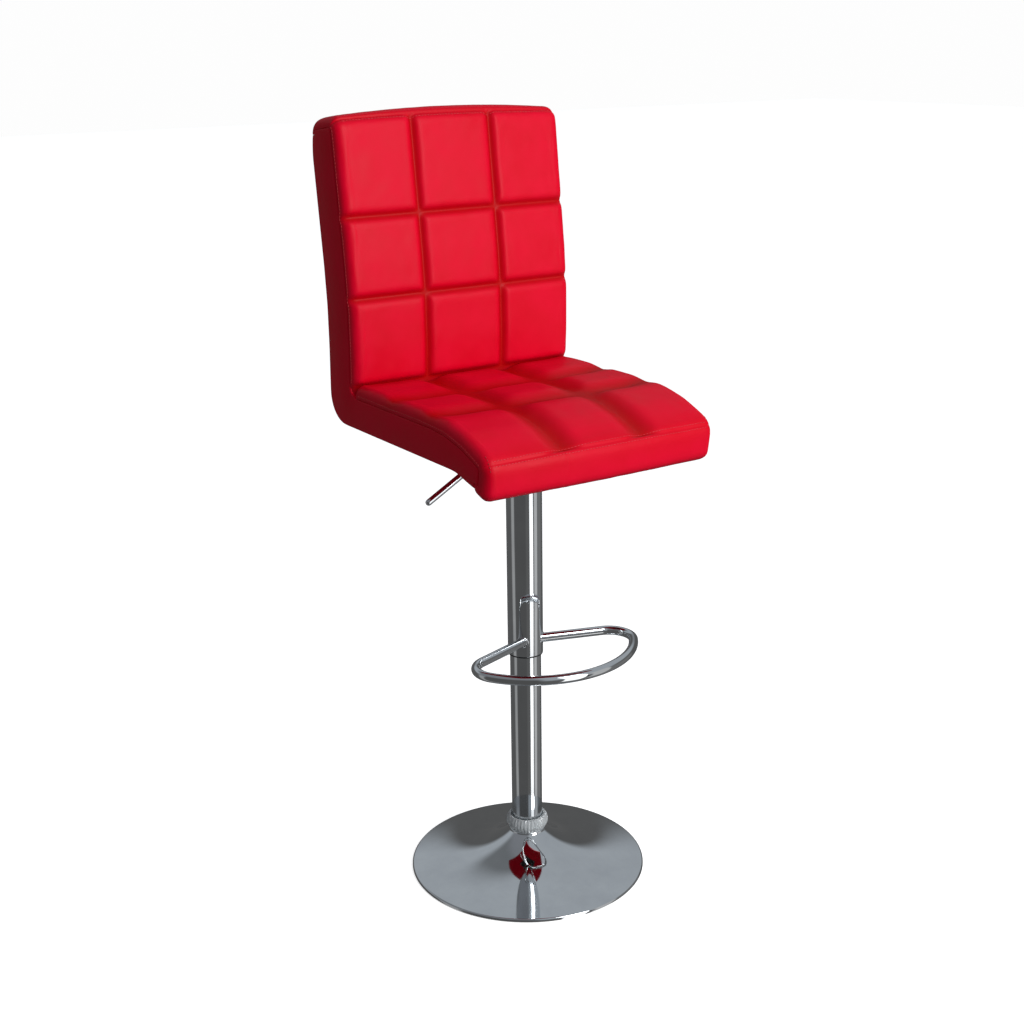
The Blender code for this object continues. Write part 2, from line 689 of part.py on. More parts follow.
lever_walk = [
    ("line", LEVER_PIVOT_X + LEVER_TONGUE + LEVER_RADIUS),
    ("arc", LEVER_BEND_RADIUS, LEVER_DROP),
    ("line", LEVER_ARM),
]
lever_side = walk((LEVER_PIVOT_X + LEVER_TONGUE, 0), 180, lever_walk)
lever_route = [(across, 0, up) for across, up in lever_side]
lever_shape = rod_mesh("lever_rod", lever_route, LEVER_RADIUS, SMALL_SEGMENTS, 0, True)
lever_rod = finish("lever_rod", lever_shape, CHROME, lever_axis)
pin_hole = drill_mesh("pin_hole", LEVER_PIN_RADIUS + GAP, -CUT_PAST, CUT_PAST)
across_y = (math.pi / 2, 0, 0)
combine(lever_rod, cutter("pin_hole", pin_hole, lever_axis, (0, 0, 0), across_y))
pivot_place = (-LEVER_PIVOT_X, 0, lever_level)
ear_inner = LEVER_RADIUS + SLIDE_GAP
ear_outer = ear_inner + EAR_SHEET
ear_foot = tray_floor + TRAY_SHEET + GAP - lever_level
ear_top = LEVER_PIN_RADIUS + EAR_RIM
bracket_outline = [
    (-ear_outer, ear_foot),
    (ear_outer, ear_foot),
    (ear_outer, ear_top),
    (ear_inner, ear_top),
    (ear_inner, ear_foot + EAR_SHEET),
    (-ear_inner, ear_foot + EAR_SHEET),
    (-ear_inner, ear_top),
    (-ear_outer, ear_top),
]
bracket_shape = prism_mesh("lever_bracket", bracket_outline, -EAR_LENGTH / 2, EAR_LENGTH / 2)
lever_bracket = finish("lever_bracket", bracket_shape, STEEL, lift_axis, pivot_place)
combine(lever_bracket, cutter("ear_hole", pin_hole, lift_axis, pivot_place, across_y))
pin_clip_low = ear_outer + GAP
pin_clip_high = pin_clip_low + PIN_CLIP
pin_rim = LEVER_PIN_RADIUS + PIN_RIM
pin_groove = LEVER_PIN_RADIUS - PIN_GROOVE
pin_section = [
    (0, -pin_clip_low - PIN_HEAD),
    (pin_rim, -pin_clip_low - PIN_HEAD),
    (pin_rim, -pin_clip_low),
    (LEVER_PIN_RADIUS, -pin_clip_low),
    (LEVER_PIN_RADIUS, pin_clip_low - GAP),
    (pin_groove, pin_clip_low - GAP),
    (pin_groove, pin_clip_high + GAP),
    (LEVER_PIN_RADIUS, pin_clip_high + GAP),
    (LEVER_PIN_RADIUS, pin_clip_high + PIN_RIM),
    (0, pin_clip_high + PIN_RIM),
]
pin_shape = turned_mesh("lever_pin", pin_section, SMALL_SEGMENTS)
finish("lever_pin", pin_shape, STEEL, lift_axis, pivot_place, across_y)
pin_clip_section = ring_section(pin_rim, pin_groove + GAP, pin_clip_low, pin_clip_high)
pin_clip_shape = turned_mesh("pin_clip", pin_clip_section, SMALL_SEGMENTS)
pin_clip = finish("pin_clip", pin_clip_shape, STEEL, lift_axis, pivot_place, across_y)
pin_clip_mouth = block_mesh(
    "pin_clip_mouth", (2 * pin_rim, PIN_CLIP_MOUTH, CUT_PAST), (pin_rim, 0, pin_clip_low)
)
combine(pin_clip, cutter("pin_clip_mouth", pin_clip_mouth, lift_axis, pivot_place, across_y))

# Cover tube with the footrest, its cap and its glide sleeve

cover_tube = ring_section(cover_radius, cover_bore, cover_bottom, cover_top, FINE_CHAMFER)
turned("cover_tube", cover_tube, CHROME, lift_axis)
cap_low = cover_top - COVER_CAP
cover_cap = ring_section(cover_bore - GAP, socket_radius + GAP, cap_low, cover_top)
turned("cover_cap", cover_cap, STEEL, lift_axis)
glide_section = [
    (COLUMN_RADIUS + SLIDE_GAP, cover_bottom - GAP - GLIDE_LIP),
    (cover_radius - SLIDE_GAP, cover_bottom - GAP - GLIDE_LIP),
    (cover_radius - SLIDE_GAP, cover_bottom - GAP),
    (cover_bore - GAP, cover_bottom - GAP),
    (cover_bore - GAP, cover_bottom + GLIDE_LENGTH),
    (COLUMN_RADIUS + SLIDE_GAP, cover_bottom + GLIDE_LENGTH),
]
turned("glide_sleeve", glide_section, NYLON, lift_axis)


def spread(first, last, count):
    return [first + (last - first) * i / count for i in range(count + 1)]


def footrest_route(height):
    """Two straight arms from the cover tube, round corners, and one wide arc across the front."""
    angle = math.radians(-FOOTREST_ARM_ANGLE)
    along = Vector((math.cos(angle), math.sin(angle)))
    inward = Vector((along.y, -along.x))
    front = Vector((0, FOOTREST_FRONT_RADIUS - FOOTREST_REACH))
    root = Vector((0, -FOOTREST_ARM_SET))
    start = root + inward * FOOTREST_CORNER_RADIUS - front
    reach = FOOTREST_FRONT_RADIUS - FOOTREST_CORNER_RADIUS
    arm = -along.dot(start) + math.sqrt(along.dot(start) ** 2 - start.length_squared + reach**2)
    centre = root + along * arm + inward * FOOTREST_CORNER_RADIUS
    corner_start = 90 - FOOTREST_ARM_ANGLE
    corner_end = math.degrees(math.atan2((centre - front).y, (centre - front).x))
    corner_turns = spread(corner_start, corner_end, FOOTREST_CORNER_STEPS)
    front_turns = spread(corner_end, -90, FOOTREST_FRONT_STEPS)[1:-1]
    half = [root + along * (cover_radius - FOOTREST_ARM_SET)]
    half += [centre + step(angle, FOOTREST_CORNER_RADIUS) for angle in corner_turns]
    half += [front + step(angle, FOOTREST_FRONT_RADIUS) for angle in front_turns]
    right = [Vector((x, y, height)) for x, y in half]
    left = [Vector((-x, y, height)) for x, y in half[::-1]]
    return right + [Vector((0, -FOOTREST_REACH, height))] + left


footrest_level = cover_bottom + FOOTREST_ABOVE_RIM
footrest_path = footrest_route(footrest_level)
footrest_shape = rod_mesh("footrest_ring", footrest_path, FOOTREST_TUBE, FOOTREST_SIDES, FOOTREST_WALL)
footrest_ring = finish("footrest_ring", footrest_shape, CHROME, lift_axis)
saddle_low = footrest_level - 2 * FOOTREST_TUBE
saddle_high = footrest_level + 2 * FOOTREST_TUBE
saddle = drill_mesh("saddle", cover_radius + GAP, saddle_low, saddle_high, SEGMENTS)
combine(footrest_ring, cutter("saddle", saddle, lift_axis))

# Seat shell, upholstery and fasteners

half_width = SEAT_WIDTH / 2
pad_half = half_width - BOXING - GAP
shell_half = pad_half - SHELL_INSET


def slab(name, outline, half, material):
    return finish(name, prism_mesh(name, outline, -half, half), material, lift_axis)


plywood_shell = slab("plywood_shell", ply_outline, shell_half, WOOD)
under_cover = slab("under_cover", under_outline, pad_half, LEATHER)
slab("seat_cushion", seat_outline, pad_half, LEATHER)
slab("back_cushion", back_outline, pad_half, LEATHER)
for side, low in (("left", half_width - BOXING), ("right", -half_width)):
    boxing_shape = prism_mesh("boxing_" + side, boxing_outline, low, low + BOXING)
    finish("boxing_" + side, boxing_shape, LEATHER, lift_axis)

ply_low = PLY_LEVEL - PLY / 2
ply_high = PLY_LEVEL + PLY / 2
flange_seat = ply_high - GAP - TNUT_FLANGE
bolt_seat = flange_level - GAP - BOLT_WASHER - GAP
bolt_low = bolt_seat - BOLT_HEAD_HEIGHT
bolt_section = [
    (0, bolt_low),
    (BOLT_HEAD_RADIUS - BOLT_HEAD_CROWN, bolt_low),
    (BOLT_HEAD_RADIUS, bolt_low + BOLT_HEAD_CROWN),
    (BOLT_HEAD_RADIUS, bolt_seat),
    (BOLT_RADIUS, bolt_seat),
    (BOLT_RADIUS, flange_seat),
    (0, flange_seat),
]
bolt_shape = turned_mesh("seat_bolt", bolt_section, SMALL_SEGMENTS)
key_shape = hexagon_mesh("key", BOLT_KEY, bolt_low - CUT_PAST, bolt_low + BOLT_KEY_DEPTH)
washer_section = ring_section(BOLT_WASHER_RADIUS, BOLT_RADIUS + GAP, -BOLT_WASHER, 0)
washer_shape = turned_mesh("seat_washer", washer_section, SMALL_SEGMENTS)
tnut_section = [
    (BOLT_RADIUS + GAP, ply_low),
    (TNUT_BARREL_RADIUS, ply_low),
    (TNUT_BARREL_RADIUS, flange_seat),
    (TNUT_FLANGE_RADIUS, flange_seat),
    (TNUT_FLANGE_RADIUS, flange_seat + TNUT_FLANGE),
    (BOLT_RADIUS + GAP, flange_seat + TNUT_FLANGE),
]
tnut_shape = turned_mesh("tee_nut", tnut_section, SMALL_SEGMENTS)
seat_section = [
    (0, ply_low - CUT_PAST),
    (TNUT_BARREL_RADIUS + GAP, ply_low - CUT_PAST),
    (TNUT_BARREL_RADIUS + GAP, flange_seat - GAP),
    (TNUT_FLANGE_RADIUS + GAP, flange_seat - GAP),
    (TNUT_FLANGE_RADIUS + GAP, ply_high + CUT_PAST),
    (0, ply_high + CUT_PAST),
]
tnut_seat = turned_mesh("tnut_seat", seat_section, SMALL_SEGMENTS)
bolt_hole = drill_mesh("bolt_hole", BOLT_RADIUS + GAP, flange_level - CUT_PAST, ply_low + GAP)
bolt_x = (TRAY_WIDTH + FLANGE_WIDTH) / 2
bolt_y = (TRAY_LENGTH + FLANGE_WIDTH) / 2
corners = (("1", -1, -1), ("2", 1, -1), ("3", 1, 1), ("4", -1, 1))
for number, side_x, side_y in corners:
    place = (side_x * bolt_x, side_y * bolt_y, 0)
    bolt = finish("seat_bolt_" + number, bolt_shape, ZINC, lift_axis, place)
    combine(bolt, cutter("key_" + number, key_shape, lift_axis, place))
    washer_place = (place[0], place[1], flange_level - GAP)
    finish("seat_washer_" + number, washer_shape, ZINC, lift_axis, washer_place)
    finish("tee_nut_" + number, tnut_shape, ZINC, lift_axis, place)
    combine(plywood_shell, cutter("tnut_seat_" + number, tnut_seat, lift_axis, place))
    hole = cutter("bolt_hole_" + number, bolt_hole, lift_axis, place)
    combine(under_cover, hole)
    combine(seat_plate, hole)
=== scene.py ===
# %% [markdown]
# # An adjustable swivel bar stool, dressed over its CAD frame
#
# The real stool is a bent plywood shell with foam and a sewn leatherette cover, standing on a gas lift
# inside two chromed tubes and a spun trumpet base. The CAD model already holds every part at its true
# size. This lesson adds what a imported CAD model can't show: puffed and stitched upholstery, smooth
# plated tubes, and finishes that say how each surface was made.

import json
import math

import bmesh
import bpy
import numpy as np
from mathutils import Matrix, Vector

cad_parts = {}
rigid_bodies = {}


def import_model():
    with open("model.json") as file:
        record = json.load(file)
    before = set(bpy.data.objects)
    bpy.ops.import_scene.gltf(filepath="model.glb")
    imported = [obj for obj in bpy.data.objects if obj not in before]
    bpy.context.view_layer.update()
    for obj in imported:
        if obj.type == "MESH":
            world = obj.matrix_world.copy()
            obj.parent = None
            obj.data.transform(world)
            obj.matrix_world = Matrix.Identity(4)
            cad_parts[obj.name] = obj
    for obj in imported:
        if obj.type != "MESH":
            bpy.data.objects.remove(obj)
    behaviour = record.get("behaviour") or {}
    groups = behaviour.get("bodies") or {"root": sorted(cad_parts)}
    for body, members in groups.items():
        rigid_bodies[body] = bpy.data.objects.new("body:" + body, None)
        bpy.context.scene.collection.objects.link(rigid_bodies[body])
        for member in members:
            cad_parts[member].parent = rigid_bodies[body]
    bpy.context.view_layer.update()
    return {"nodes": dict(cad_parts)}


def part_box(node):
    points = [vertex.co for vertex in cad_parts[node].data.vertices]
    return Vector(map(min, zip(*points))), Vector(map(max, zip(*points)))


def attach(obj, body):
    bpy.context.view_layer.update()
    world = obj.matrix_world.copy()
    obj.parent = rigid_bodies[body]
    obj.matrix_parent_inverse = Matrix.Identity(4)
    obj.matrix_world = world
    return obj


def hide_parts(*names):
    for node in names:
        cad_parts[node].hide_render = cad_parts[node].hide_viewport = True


for leftover in list(bpy.data.objects):
    bpy.data.objects.remove(leftover)
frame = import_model()

nodes = frame["nodes"]
MM = 0.001
FULL_TURN = math.tau

# %% [markdown]
# ## Levels taken from the frame
#
# Nothing is measured twice. The column's axis, the seat's width and the tube sizes are read from the
# CAD nodes' own boxes, so a piece made here always lands where the CAD part stands.

# %% Levels and radii
column_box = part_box("column_tube")
cover_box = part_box("cover_tube")
disc_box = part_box("base_disc")
collar_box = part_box("neck_collar")
footrest_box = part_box("footrest_ring")
AXIS_Y = (column_box[0].y + column_box[1].y) / 2
AXIS = Vector((0, AXIS_Y, 0))
HALF_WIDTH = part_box("boxing_left")[1].x
SEAT_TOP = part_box("seat_cushion")[1].z
print("column axis at y =", round(AXIS_Y / MM, 2), "mm, seat top at", round(SEAT_TOP / MM, 1), "mm")


# %% [markdown]
# ## Working by operators
#
# Everything below is shaped the way a person would do it in edit mode: add a primitive, select a loop,
# extrude, scale, inset, spin. These few helpers only do the selecting, and close a piece properly at the
# end: doubles merged, normals outward, object at the origin, riding on its CAD body.

# %% Selecting and finishing
def only(made):
    """Selects one object and makes it active."""
    bpy.ops.object.select_all(action="DESELECT")
    made.select_set(True)
    bpy.context.view_layer.objects.active = made


def named(name):
    """The object that an add operator has just made, renamed."""
    made = bpy.context.object
    made.name = name
    made.data.name = name
    return made


def edit(made, mode="VERT"):
    only(made)
    bpy.ops.object.mode_set(mode="EDIT")
    bpy.ops.mesh.select_mode(type=mode)


def leave():
    bpy.ops.object.mode_set(mode="OBJECT")


def pick(made, test):
    """Selects the faces whose centre and normal pass a test, in face mode."""
    cage = bmesh.from_edit_mesh(made.data)
    for face in cage.faces:
        face.select_set(bool(test(face.calc_center_median(), face.normal)))
    cage.select_flush_mode()
    bmesh.update_edit_mesh(made.data)


def weld(made, recalculate=True, distance=1e-5):
    edit(made)
    bpy.ops.mesh.select_all(action="SELECT")
    bpy.ops.mesh.remove_doubles(threshold=distance)
    if recalculate:
        bpy.ops.mesh.normals_make_consistent(inside=False)
    leave()


def apply_all(made):
    only(made)
    for modifier in list(made.modifiers):
        bpy.ops.object.modifier_apply(modifier=modifier.name)


def complete(made, body, slot, material, *replaced, smooth=35):
    """Applies place and modifiers, smooths, and hands the piece to the frame."""
    apply_all(made)
    bpy.ops.object.transform_apply(location=True, rotation=True, scale=True)
    if smooth:
        bpy.ops.object.shade_smooth_by_angle(angle=math.radians(smooth))
    made.data.materials.clear()
    made.data.materials.append(material)
    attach(made, body)
    if replaced:
        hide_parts(*replaced)
    print(made.name, "rides on", body, "with", len(made.data.polygons), "faces")


# %% [markdown]
# ## One function for nodes
#
# A material is a small circuit. `add` puts one node in it, sets its options and inputs, and wires it,
# so that the recipes below read as lists. Colours are written as the sRGB hex values of a paint chart
# and turned into the linear values that light is computed with.

# %% Colour and node helpers
# The colour sockets of a Mix node share their names with its other sockets, so they go by number.
MIX_SHARE, MIX_UNDER, MIX_OVER, MIX_RESULT = 0, 6, 7, 2


def linear(hex_colour):
    """The linear colour of an sRGB hex value."""
    parts = [int(hex_colour[i : i + 2], 16) / 255 for i in (1, 3, 5)]
    return tuple(c / 12.92 if c <= 0.04045 else ((c + 0.055) / 1.055) ** 2.4 for c in parts) + (1.0,)


def add(tree, kind, options=(), values=(), links=()):
    """Adds a node, sets options (attributes), values (inputs) and links (input from another's output)."""
    made = tree.nodes.new(kind)
    for name, value in dict(options).items():
        setattr(made, name, value)
    for name, value in dict(values).items():
        made.inputs[name].default_value = value
    for name, source in dict(links).items():
        tree.links.new(source, made.inputs[name])
    return made


def start_material(name, **shader_values):
    """A new material with one Principled shader, its plain values set on the shader's own sockets."""
    made = bpy.data.materials.new(name)
    made.use_nodes = True
    shader = made.node_tree.nodes["Principled BSDF"]
    for socket, value in shader_values.items():
        shader.inputs[socket.replace("_", " ")].default_value = value
    return made, made.node_tree, shader


def object_place(tree, size):
    """Object coordinates, scaled so that one unit of a pattern is a real size in millimetres."""
    place = add(tree, "ShaderNodeTexCoord").outputs["Object"]
    scale = (1 / (size * MM),) * 3
    return add(tree, "ShaderNodeMapping", {}, {"Scale": scale}, {"Vector": place}).outputs[0]


def colour_ramp(tree, source, stops):
    """A ramp over a pattern, with a colour at each (position, colour) stop."""
    ramp = add(tree, "ShaderNodeValToRGB", links={"Fac": source})
    elements = ramp.color_ramp.elements
    while len(elements) < len(stops):
        elements.new(0.5)
    for element, (position, colour) in zip(elements, stops):
        element.position = position
        element.color = colour
    return ramp.outputs["Color"]


def grey(value):
    return (value, value, value, 1.0)


def bump(tree, shader, height, strength, distance):
    """Raises the surface by a pattern, whose full height is the distance in metres."""
    made = add(
        tree,
        "ShaderNodeBump",
        values={"Strength": strength, "Distance": distance},
        links={"Height": height},
    )
    tree.links.new(made.outputs["Normal"], shader.inputs["Normal"])


# %% [markdown]
# ## Red leatherette
#
# The cover is PU leatherette: a polyurethane skin, embossed with a calf grain and lacquered, on a knitted
# backing. The grain's pebbles are about 1 mm across, drawn here at 1.6 mm so that they just show. The
# lacquer gives a soft, wide highlight. The skin's red drifts between two tones in soft clouds, paler on
# the puffs than in the seams, where a darker red is painted as painted shade; the pieces carry where it
# goes as a vertex attribute.

# %% Leatherette
LEATHER_RED = "#DC0024"
LEATHER_STRETCHED = "#E4002C"
LEATHER_SEAM_SHADE = "#B80006"
GRAIN = 1.6
GRAIN_HEIGHT = 0.0005
SCUFF = 45


def leatherette(name, skin, stretched, shade_red):
    """Embossed PU skin: two reds in soft clouds, darker red painted shade in the folds, and a pebbled grain.
    """
    made, tree, shader = start_material(name, Roughness=0.44, Specular_IOR_Level=0.12)
    pebble = add(
        tree,
        "ShaderNodeTexVoronoi",
        {"feature": "SMOOTH_F1"},
        {"Scale": 1.0, "Smoothness": 0.6},
        {"Vector": object_place(tree, GRAIN)},
    )
    cloud = add(
        tree, "ShaderNodeTexNoise", {}, {"Scale": 1.0, "Detail": 4.0}, {"Vector": object_place(tree, SCUFF)}
    )
    # Painted shade: a vertex attribute that is 1 in the folds between puffs, where a darker red is mixed in.
    seam_shade = add(tree, "ShaderNodeAttribute", {"attribute_name": "seam_shade"})
    tone = colour_ramp(tree, cloud.outputs["Fac"], [(0.3, linear(skin)), (0.75, linear(stretched))])
    mixed = add(
        tree,
        "ShaderNodeMix",
        {"data_type": "RGBA"},
        {MIX_OVER: linear(shade_red)},
        {MIX_SHARE: seam_shade.outputs["Fac"], MIX_UNDER: tone},
    )
    tree.links.new(mixed.outputs[MIX_RESULT], shader.inputs["Base Color"])
    rough = add(
        tree,
        "ShaderNodeMapRange",
        values={"From Min": 0.3, "From Max": 0.7, "To Min": 0.38, "To Max": 0.5},
        links={"Value": cloud.outputs["Fac"]},
    )
    tree.links.new(rough.outputs[0], shader.inputs["Roughness"])
    bump(tree, shader, pebble.outputs["Distance"], 0.22, GRAIN_HEIGHT)
    return made


LEATHER = leatherette("leatherette_embossed_red", LEATHER_RED, LEATHER_STRETCHED, LEATHER_SEAM_SHADE)
print("cover:", LEATHER.name, "with a grain of", GRAIN, "mm")

# %% [markdown]
# ## Thread
#
# The topstitching is bonded polyester thread in the cover's red. The light its round filaments catch is
# painted into its colour: diagonal bands of painted highlight, a little lighter than the skin, with painted
# shade between them. Its plies turn about once a millimetre, drawn here at 2.2 mm, which is as fine as can
# show.

# %% Thread
PLY_TURN = 2.2
THREAD, thread_tree, thread_shader = start_material(
    "bonded_polyester_thread", Roughness=0.55, Sheen_Weight=0.4
)
thread_shader.inputs["Sheen Tint"].default_value = linear("#FFC4C4")
ply_twist = add(
    thread_tree,
    "ShaderNodeTexWave",
    {"wave_type": "BANDS", "bands_direction": "DIAGONAL"},
    {"Scale": 1.0, "Distortion": 0.4},
    {"Vector": object_place(thread_tree, PLY_TURN)},
)
# Painted highlight on the plies and painted shade between them, in the thread's colour.
ply_highlight_and_shade = colour_ramp(
    thread_tree, ply_twist.outputs["Fac"], [(0.0, linear("#C01022")), (1.0, linear("#E8384A"))]
)
thread_tree.links.new(ply_highlight_and_shade, thread_shader.inputs["Base Color"])
print("thread:", THREAD.name)

# %% [markdown]
# ## Chrome and the other metals
#
# The tubes, base and footrest are steel, polished and plated with nickel and then chromium: an almost
# perfect mirror with a cool tint. Its only marks are a faint waviness from polishing, tens of
# millimetres long, and a slight haze from handling. The zinc on the fasteners and the bare steel of the
# bearing get the same recipe, rougher, with a fine grain instead of the wave.


# %% Metals
def metal(name, light, dark, rough, cloud_size, wave=0.0, wave_size=40.0, grain=0.0, grain_size=1.0):
    """A metal whose tone and haze drift with a cloud, with a long wave or a fine grain in its surface."""
    made, tree, shader = start_material(name, Metallic=1.0, Roughness=rough)
    cloud = add(
        tree,
        "ShaderNodeTexNoise",
        {},
        {"Scale": 1.0, "Detail": 5.0, "Roughness": 0.6},
        {"Vector": object_place(tree, cloud_size)},
    )
    tone = colour_ramp(tree, cloud.outputs["Fac"], [(0.3, linear(light)), (0.7, linear(dark))])
    tree.links.new(tone, shader.inputs["Base Color"])
    haze = add(
        tree,
        "ShaderNodeMapRange",
        values={"From Min": 0.35, "From Max": 0.75, "To Min": rough, "To Max": rough * 1.6},
        links={"Value": cloud.outputs["Fac"]},
    )
    tree.links.new(haze.outputs[0], shader.inputs["Roughness"])
    if wave:
        swell = add(
            tree,
            "ShaderNodeTexNoise",
            {},
            {"Scale": 1.0, "Detail": 0.0},
            {"Vector": object_place(tree, wave_size)},
        )
        bump(tree, shader, swell.outputs["Fac"], 1.0, wave)
    if grain:
        grit = add(
            tree,
            "ShaderNodeTexNoise",
            {},
            {"Scale": 1.0, "Detail": 3.0},
            {"Vector": object_place(tree, grain_size)},
        )
        bump(tree, shader, grit.outputs["Fac"], 1.0, grain)
    return made


CHROME = metal("chromium_plate_polished", "#DFE2E4", "#D3D6D9", 0.045, 60, wave=0.00006, wave_size=35)
ZINC = metal("zinc_plate_bright", "#C9CDD2", "#AEB3B9", 0.28, 12, grain=0.00008, grain_size=0.8)
BARE_STEEL = metal("steel_turned_oiled", "#A9ABAD", "#8C8E90", 0.30, 15, grain=0.00006, grain_size=0.6)
print("metals:", CHROME.name, ZINC.name, BARE_STEEL.name)

# %% [markdown]
# ## Coats, rubber and plastics
#
# Powder coat is sprayed dry and baked, which leaves a fine orange peel about 1.5 mm across. Rubber is
# moulded and dusty. Nylon comes satin from the mould. The collar is clear polycarbonate, moulded with
# slow flow waves about 6 mm long, and it is a little milky, so only part of the light goes through.


# %% Coats and plastics
def moulded(name, light, dark, rough, peel_size, peel):
    """A coat or moulding: tone drifting between two shades, and a fine peel in the surface."""
    made, tree, shader = start_material(name, Roughness=rough)
    peel_noise = add(
        tree,
        "ShaderNodeTexNoise",
        {},
        {"Scale": 1.0, "Detail": 2.0},
        {"Vector": object_place(tree, peel_size)},
    )
    dust = add(
        tree, "ShaderNodeTexNoise", {}, {"Scale": 1.0, "Detail": 4.0}, {"Vector": object_place(tree, 25)}
    )
    tone = colour_ramp(tree, dust.outputs["Fac"], [(0.35, linear(light)), (0.75, linear(dark))])
    tree.links.new(tone, shader.inputs["Base Color"])
    bump(tree, shader, peel_noise.outputs["Fac"], 1.0, peel)
    return made


POWDER_COAT = moulded("powder_coat_black", "#1B1B1C", "#262627", 0.42, 1.5, 0.0002)
RUBBER = moulded("rubber_moulded_black", "#161616", "#232221", 0.78, 0.8, 0.0001)
NYLON = moulded("nylon_moulded_black", "#151516", "#1D1D1F", 0.38, 1.0, 0.00005)
CLEAR, clear_tree, clear_shader = start_material(
    "polycarbonate_clear", Roughness=0.03, IOR=1.58, Transmission_Weight=0.62
)
clear_shader.inputs["Base Color"].default_value = linear("#F4F8FA")
FLOW_WAVE = 6
FLOW_HEIGHT = 0.0008
flow = add(
    clear_tree,
    "ShaderNodeTexNoise",
    {},
    {"Scale": 1.0, "Detail": 1.0},
    {"Vector": object_place(clear_tree, FLOW_WAVE)},
)
bump(clear_tree, clear_shader, flow.outputs["Fac"], 0.6, FLOW_HEIGHT)
print("mouldings:", POWDER_COAT.name, RUBBER.name, NYLON.name, CLEAR.name)

# %% [markdown]
# ## Plywood
#
# The shell is eight rotary-cut beech veneers glued in a mould. Its edges show the plies as thin bands,
# pale and dark by turns, 1.5 mm each, and its faces show long soft grain.

# %% Plywood
PLYWOOD, ply_tree, ply_shader = start_material("beech_plywood_moulded", Roughness=0.62)
VENEER_PAIR = 3
PLY_RIDGE = 0.0002
ply_bands = add(
    ply_tree,
    "ShaderNodeTexWave",
    {"wave_type": "BANDS", "bands_direction": "Z"},
    {"Scale": 0.5, "Distortion": 1.2, "Detail": 3.0},
    {"Vector": object_place(ply_tree, VENEER_PAIR)},
)
ply_tone = colour_ramp(
    ply_tree, ply_bands.outputs["Fac"], [(0.1, linear("#C9A97C")), (0.9, linear("#A9835A"))]
)
ply_tree.links.new(ply_tone, ply_shader.inputs["Base Color"])
bump(ply_tree, ply_shader, ply_bands.outputs["Fac"], 0.4, PLY_RIDGE)
print("shell:", PLYWOOD.name)

# %% [markdown]
# ## Finishes for the CAD parts that stay
#
# The hidden mechanism is already the right shape, so its CAD nodes stay and only take these finishes.

# %% Assign finishes to the CAD nodes
SLOT_FINISH = {
    "chrome": CHROME,
    "steel": BARE_STEEL,
    "zinc": ZINC,
    "black_steel": POWDER_COAT,
    "rubber": RUBBER,
    "nylon": NYLON,
    "clear_plastic": CLEAR,
    "plywood": PLYWOOD,
    "leather": LEATHER,
    "cushion": LEATHER,
}
for node in nodes.values():
    for material_slot in node.material_slots:
        material_slot.material = SLOT_FINISH[material_slot.material.name]
print("finishes:", {node: data.material_slots[0].material.name for node, data in list(nodes.items())[:4]})


# %% [markdown]
# ## Reading a side outline from a CAD pad
#
# Each CAD pad is a flat slab drawn across the stool's width, so its end face holds the pad's whole
# profile. A copy of the slab is welded, its end face is found by its normal, and the rim of that face is
# followed round. `span` then takes the stretch of the rim between two corners, on the side that passes
# nearest a third point.


# %% Outlines
def side_outline(node_name):
    """The (y, z) points round the +X end of a CAD slab."""
    cage = bmesh.new()
    cage.from_mesh(nodes[node_name].data)
    bmesh.ops.remove_doubles(cage, verts=cage.verts, dist=1e-6)
    bmesh.ops.dissolve_degenerate(cage, edges=cage.edges, dist=1e-6)
    end = max(vert.co.x for vert in cage.verts) - 1e-5
    beside = {}
    for edge in cage.edges:
        first, second = edge.verts
        wall = any(abs(face.normal.x) < 0.5 and face.calc_area() > 1e-9 for face in edge.link_faces)
        if wall and first.co.x > end and second.co.x > end:
            beside.setdefault(first, []).append(second)
            beside.setdefault(second, []).append(first)
    order = [next(iter(beside))]
    before = None
    while True:
        onward = [vert for vert in beside[order[-1]] if vert is not before]
        if not onward or onward[0] is order[0]:
            break
        before = order[-1]
        order.append(onward[0])
    points = np.array([[vert.co.y, vert.co.z] for vert in order])
    cage.free()
    return points


def nearest(points, spot):
    """The number of the point that lies nearest a spot."""
    return int(np.argmin(np.linalg.norm(points - np.array(spot), axis=1)))


def span(points, start, via, end):
    """The rim from near start to near end, going round past via."""
    first, middle, last = (nearest(points, spot) for spot in (start, via, end))
    count = len(points)
    onward = [(first + i) % count for i in range((last - first) % count + 1)]
    if middle not in onward:
        onward = [(first - i) % count for i in range((first - last) % count + 1)]
    return points[onward]


def along(points):
    """The length run along a line at each of its points."""
    return np.concatenate([[0], np.cumsum(np.linalg.norm(np.diff(points, axis=0), axis=1))])


EASING_PASSES = 4


def smooth_line(points, spacing=0.002):
    """The line through the points with its corners eased, resampled at an even spacing."""
    length = along(points)
    even = np.linspace(0, length[-1], max(8, int(length[-1] / spacing)))
    line = np.column_stack([np.interp(even, length, points[:, k]) for k in (0, 1)])
    for _ in range(EASING_PASSES):
        line[1:-1] = (line[:-2] + 2 * line[1:-1] + line[2:]) / 4
    return line


def at(line, distances):
    """Points on a line at the given lengths, and the unit normals on its left."""
    length = along(line)
    spots = np.column_stack([np.interp(distances, length, line[:, k]) for k in (0, 1)])
    reach = 0.0015
    after = np.column_stack([np.interp(distances + reach, length, line[:, k]) for k in (0, 1)])
    before = np.column_stack([np.interp(distances - reach, length, line[:, k]) for k in (0, 1)])
    ahead = after - before
    ahead /= np.linalg.norm(ahead, axis=1)[:, None]
    return spots, np.column_stack([-ahead[:, 1], ahead[:, 0]])


seat_rim = side_outline("seat_cushion")
back_rim = side_outline("back_cushion")
under_rim = side_outline("under_cover")
print("rim points:", len(seat_rim), len(back_rim), len(under_rim))

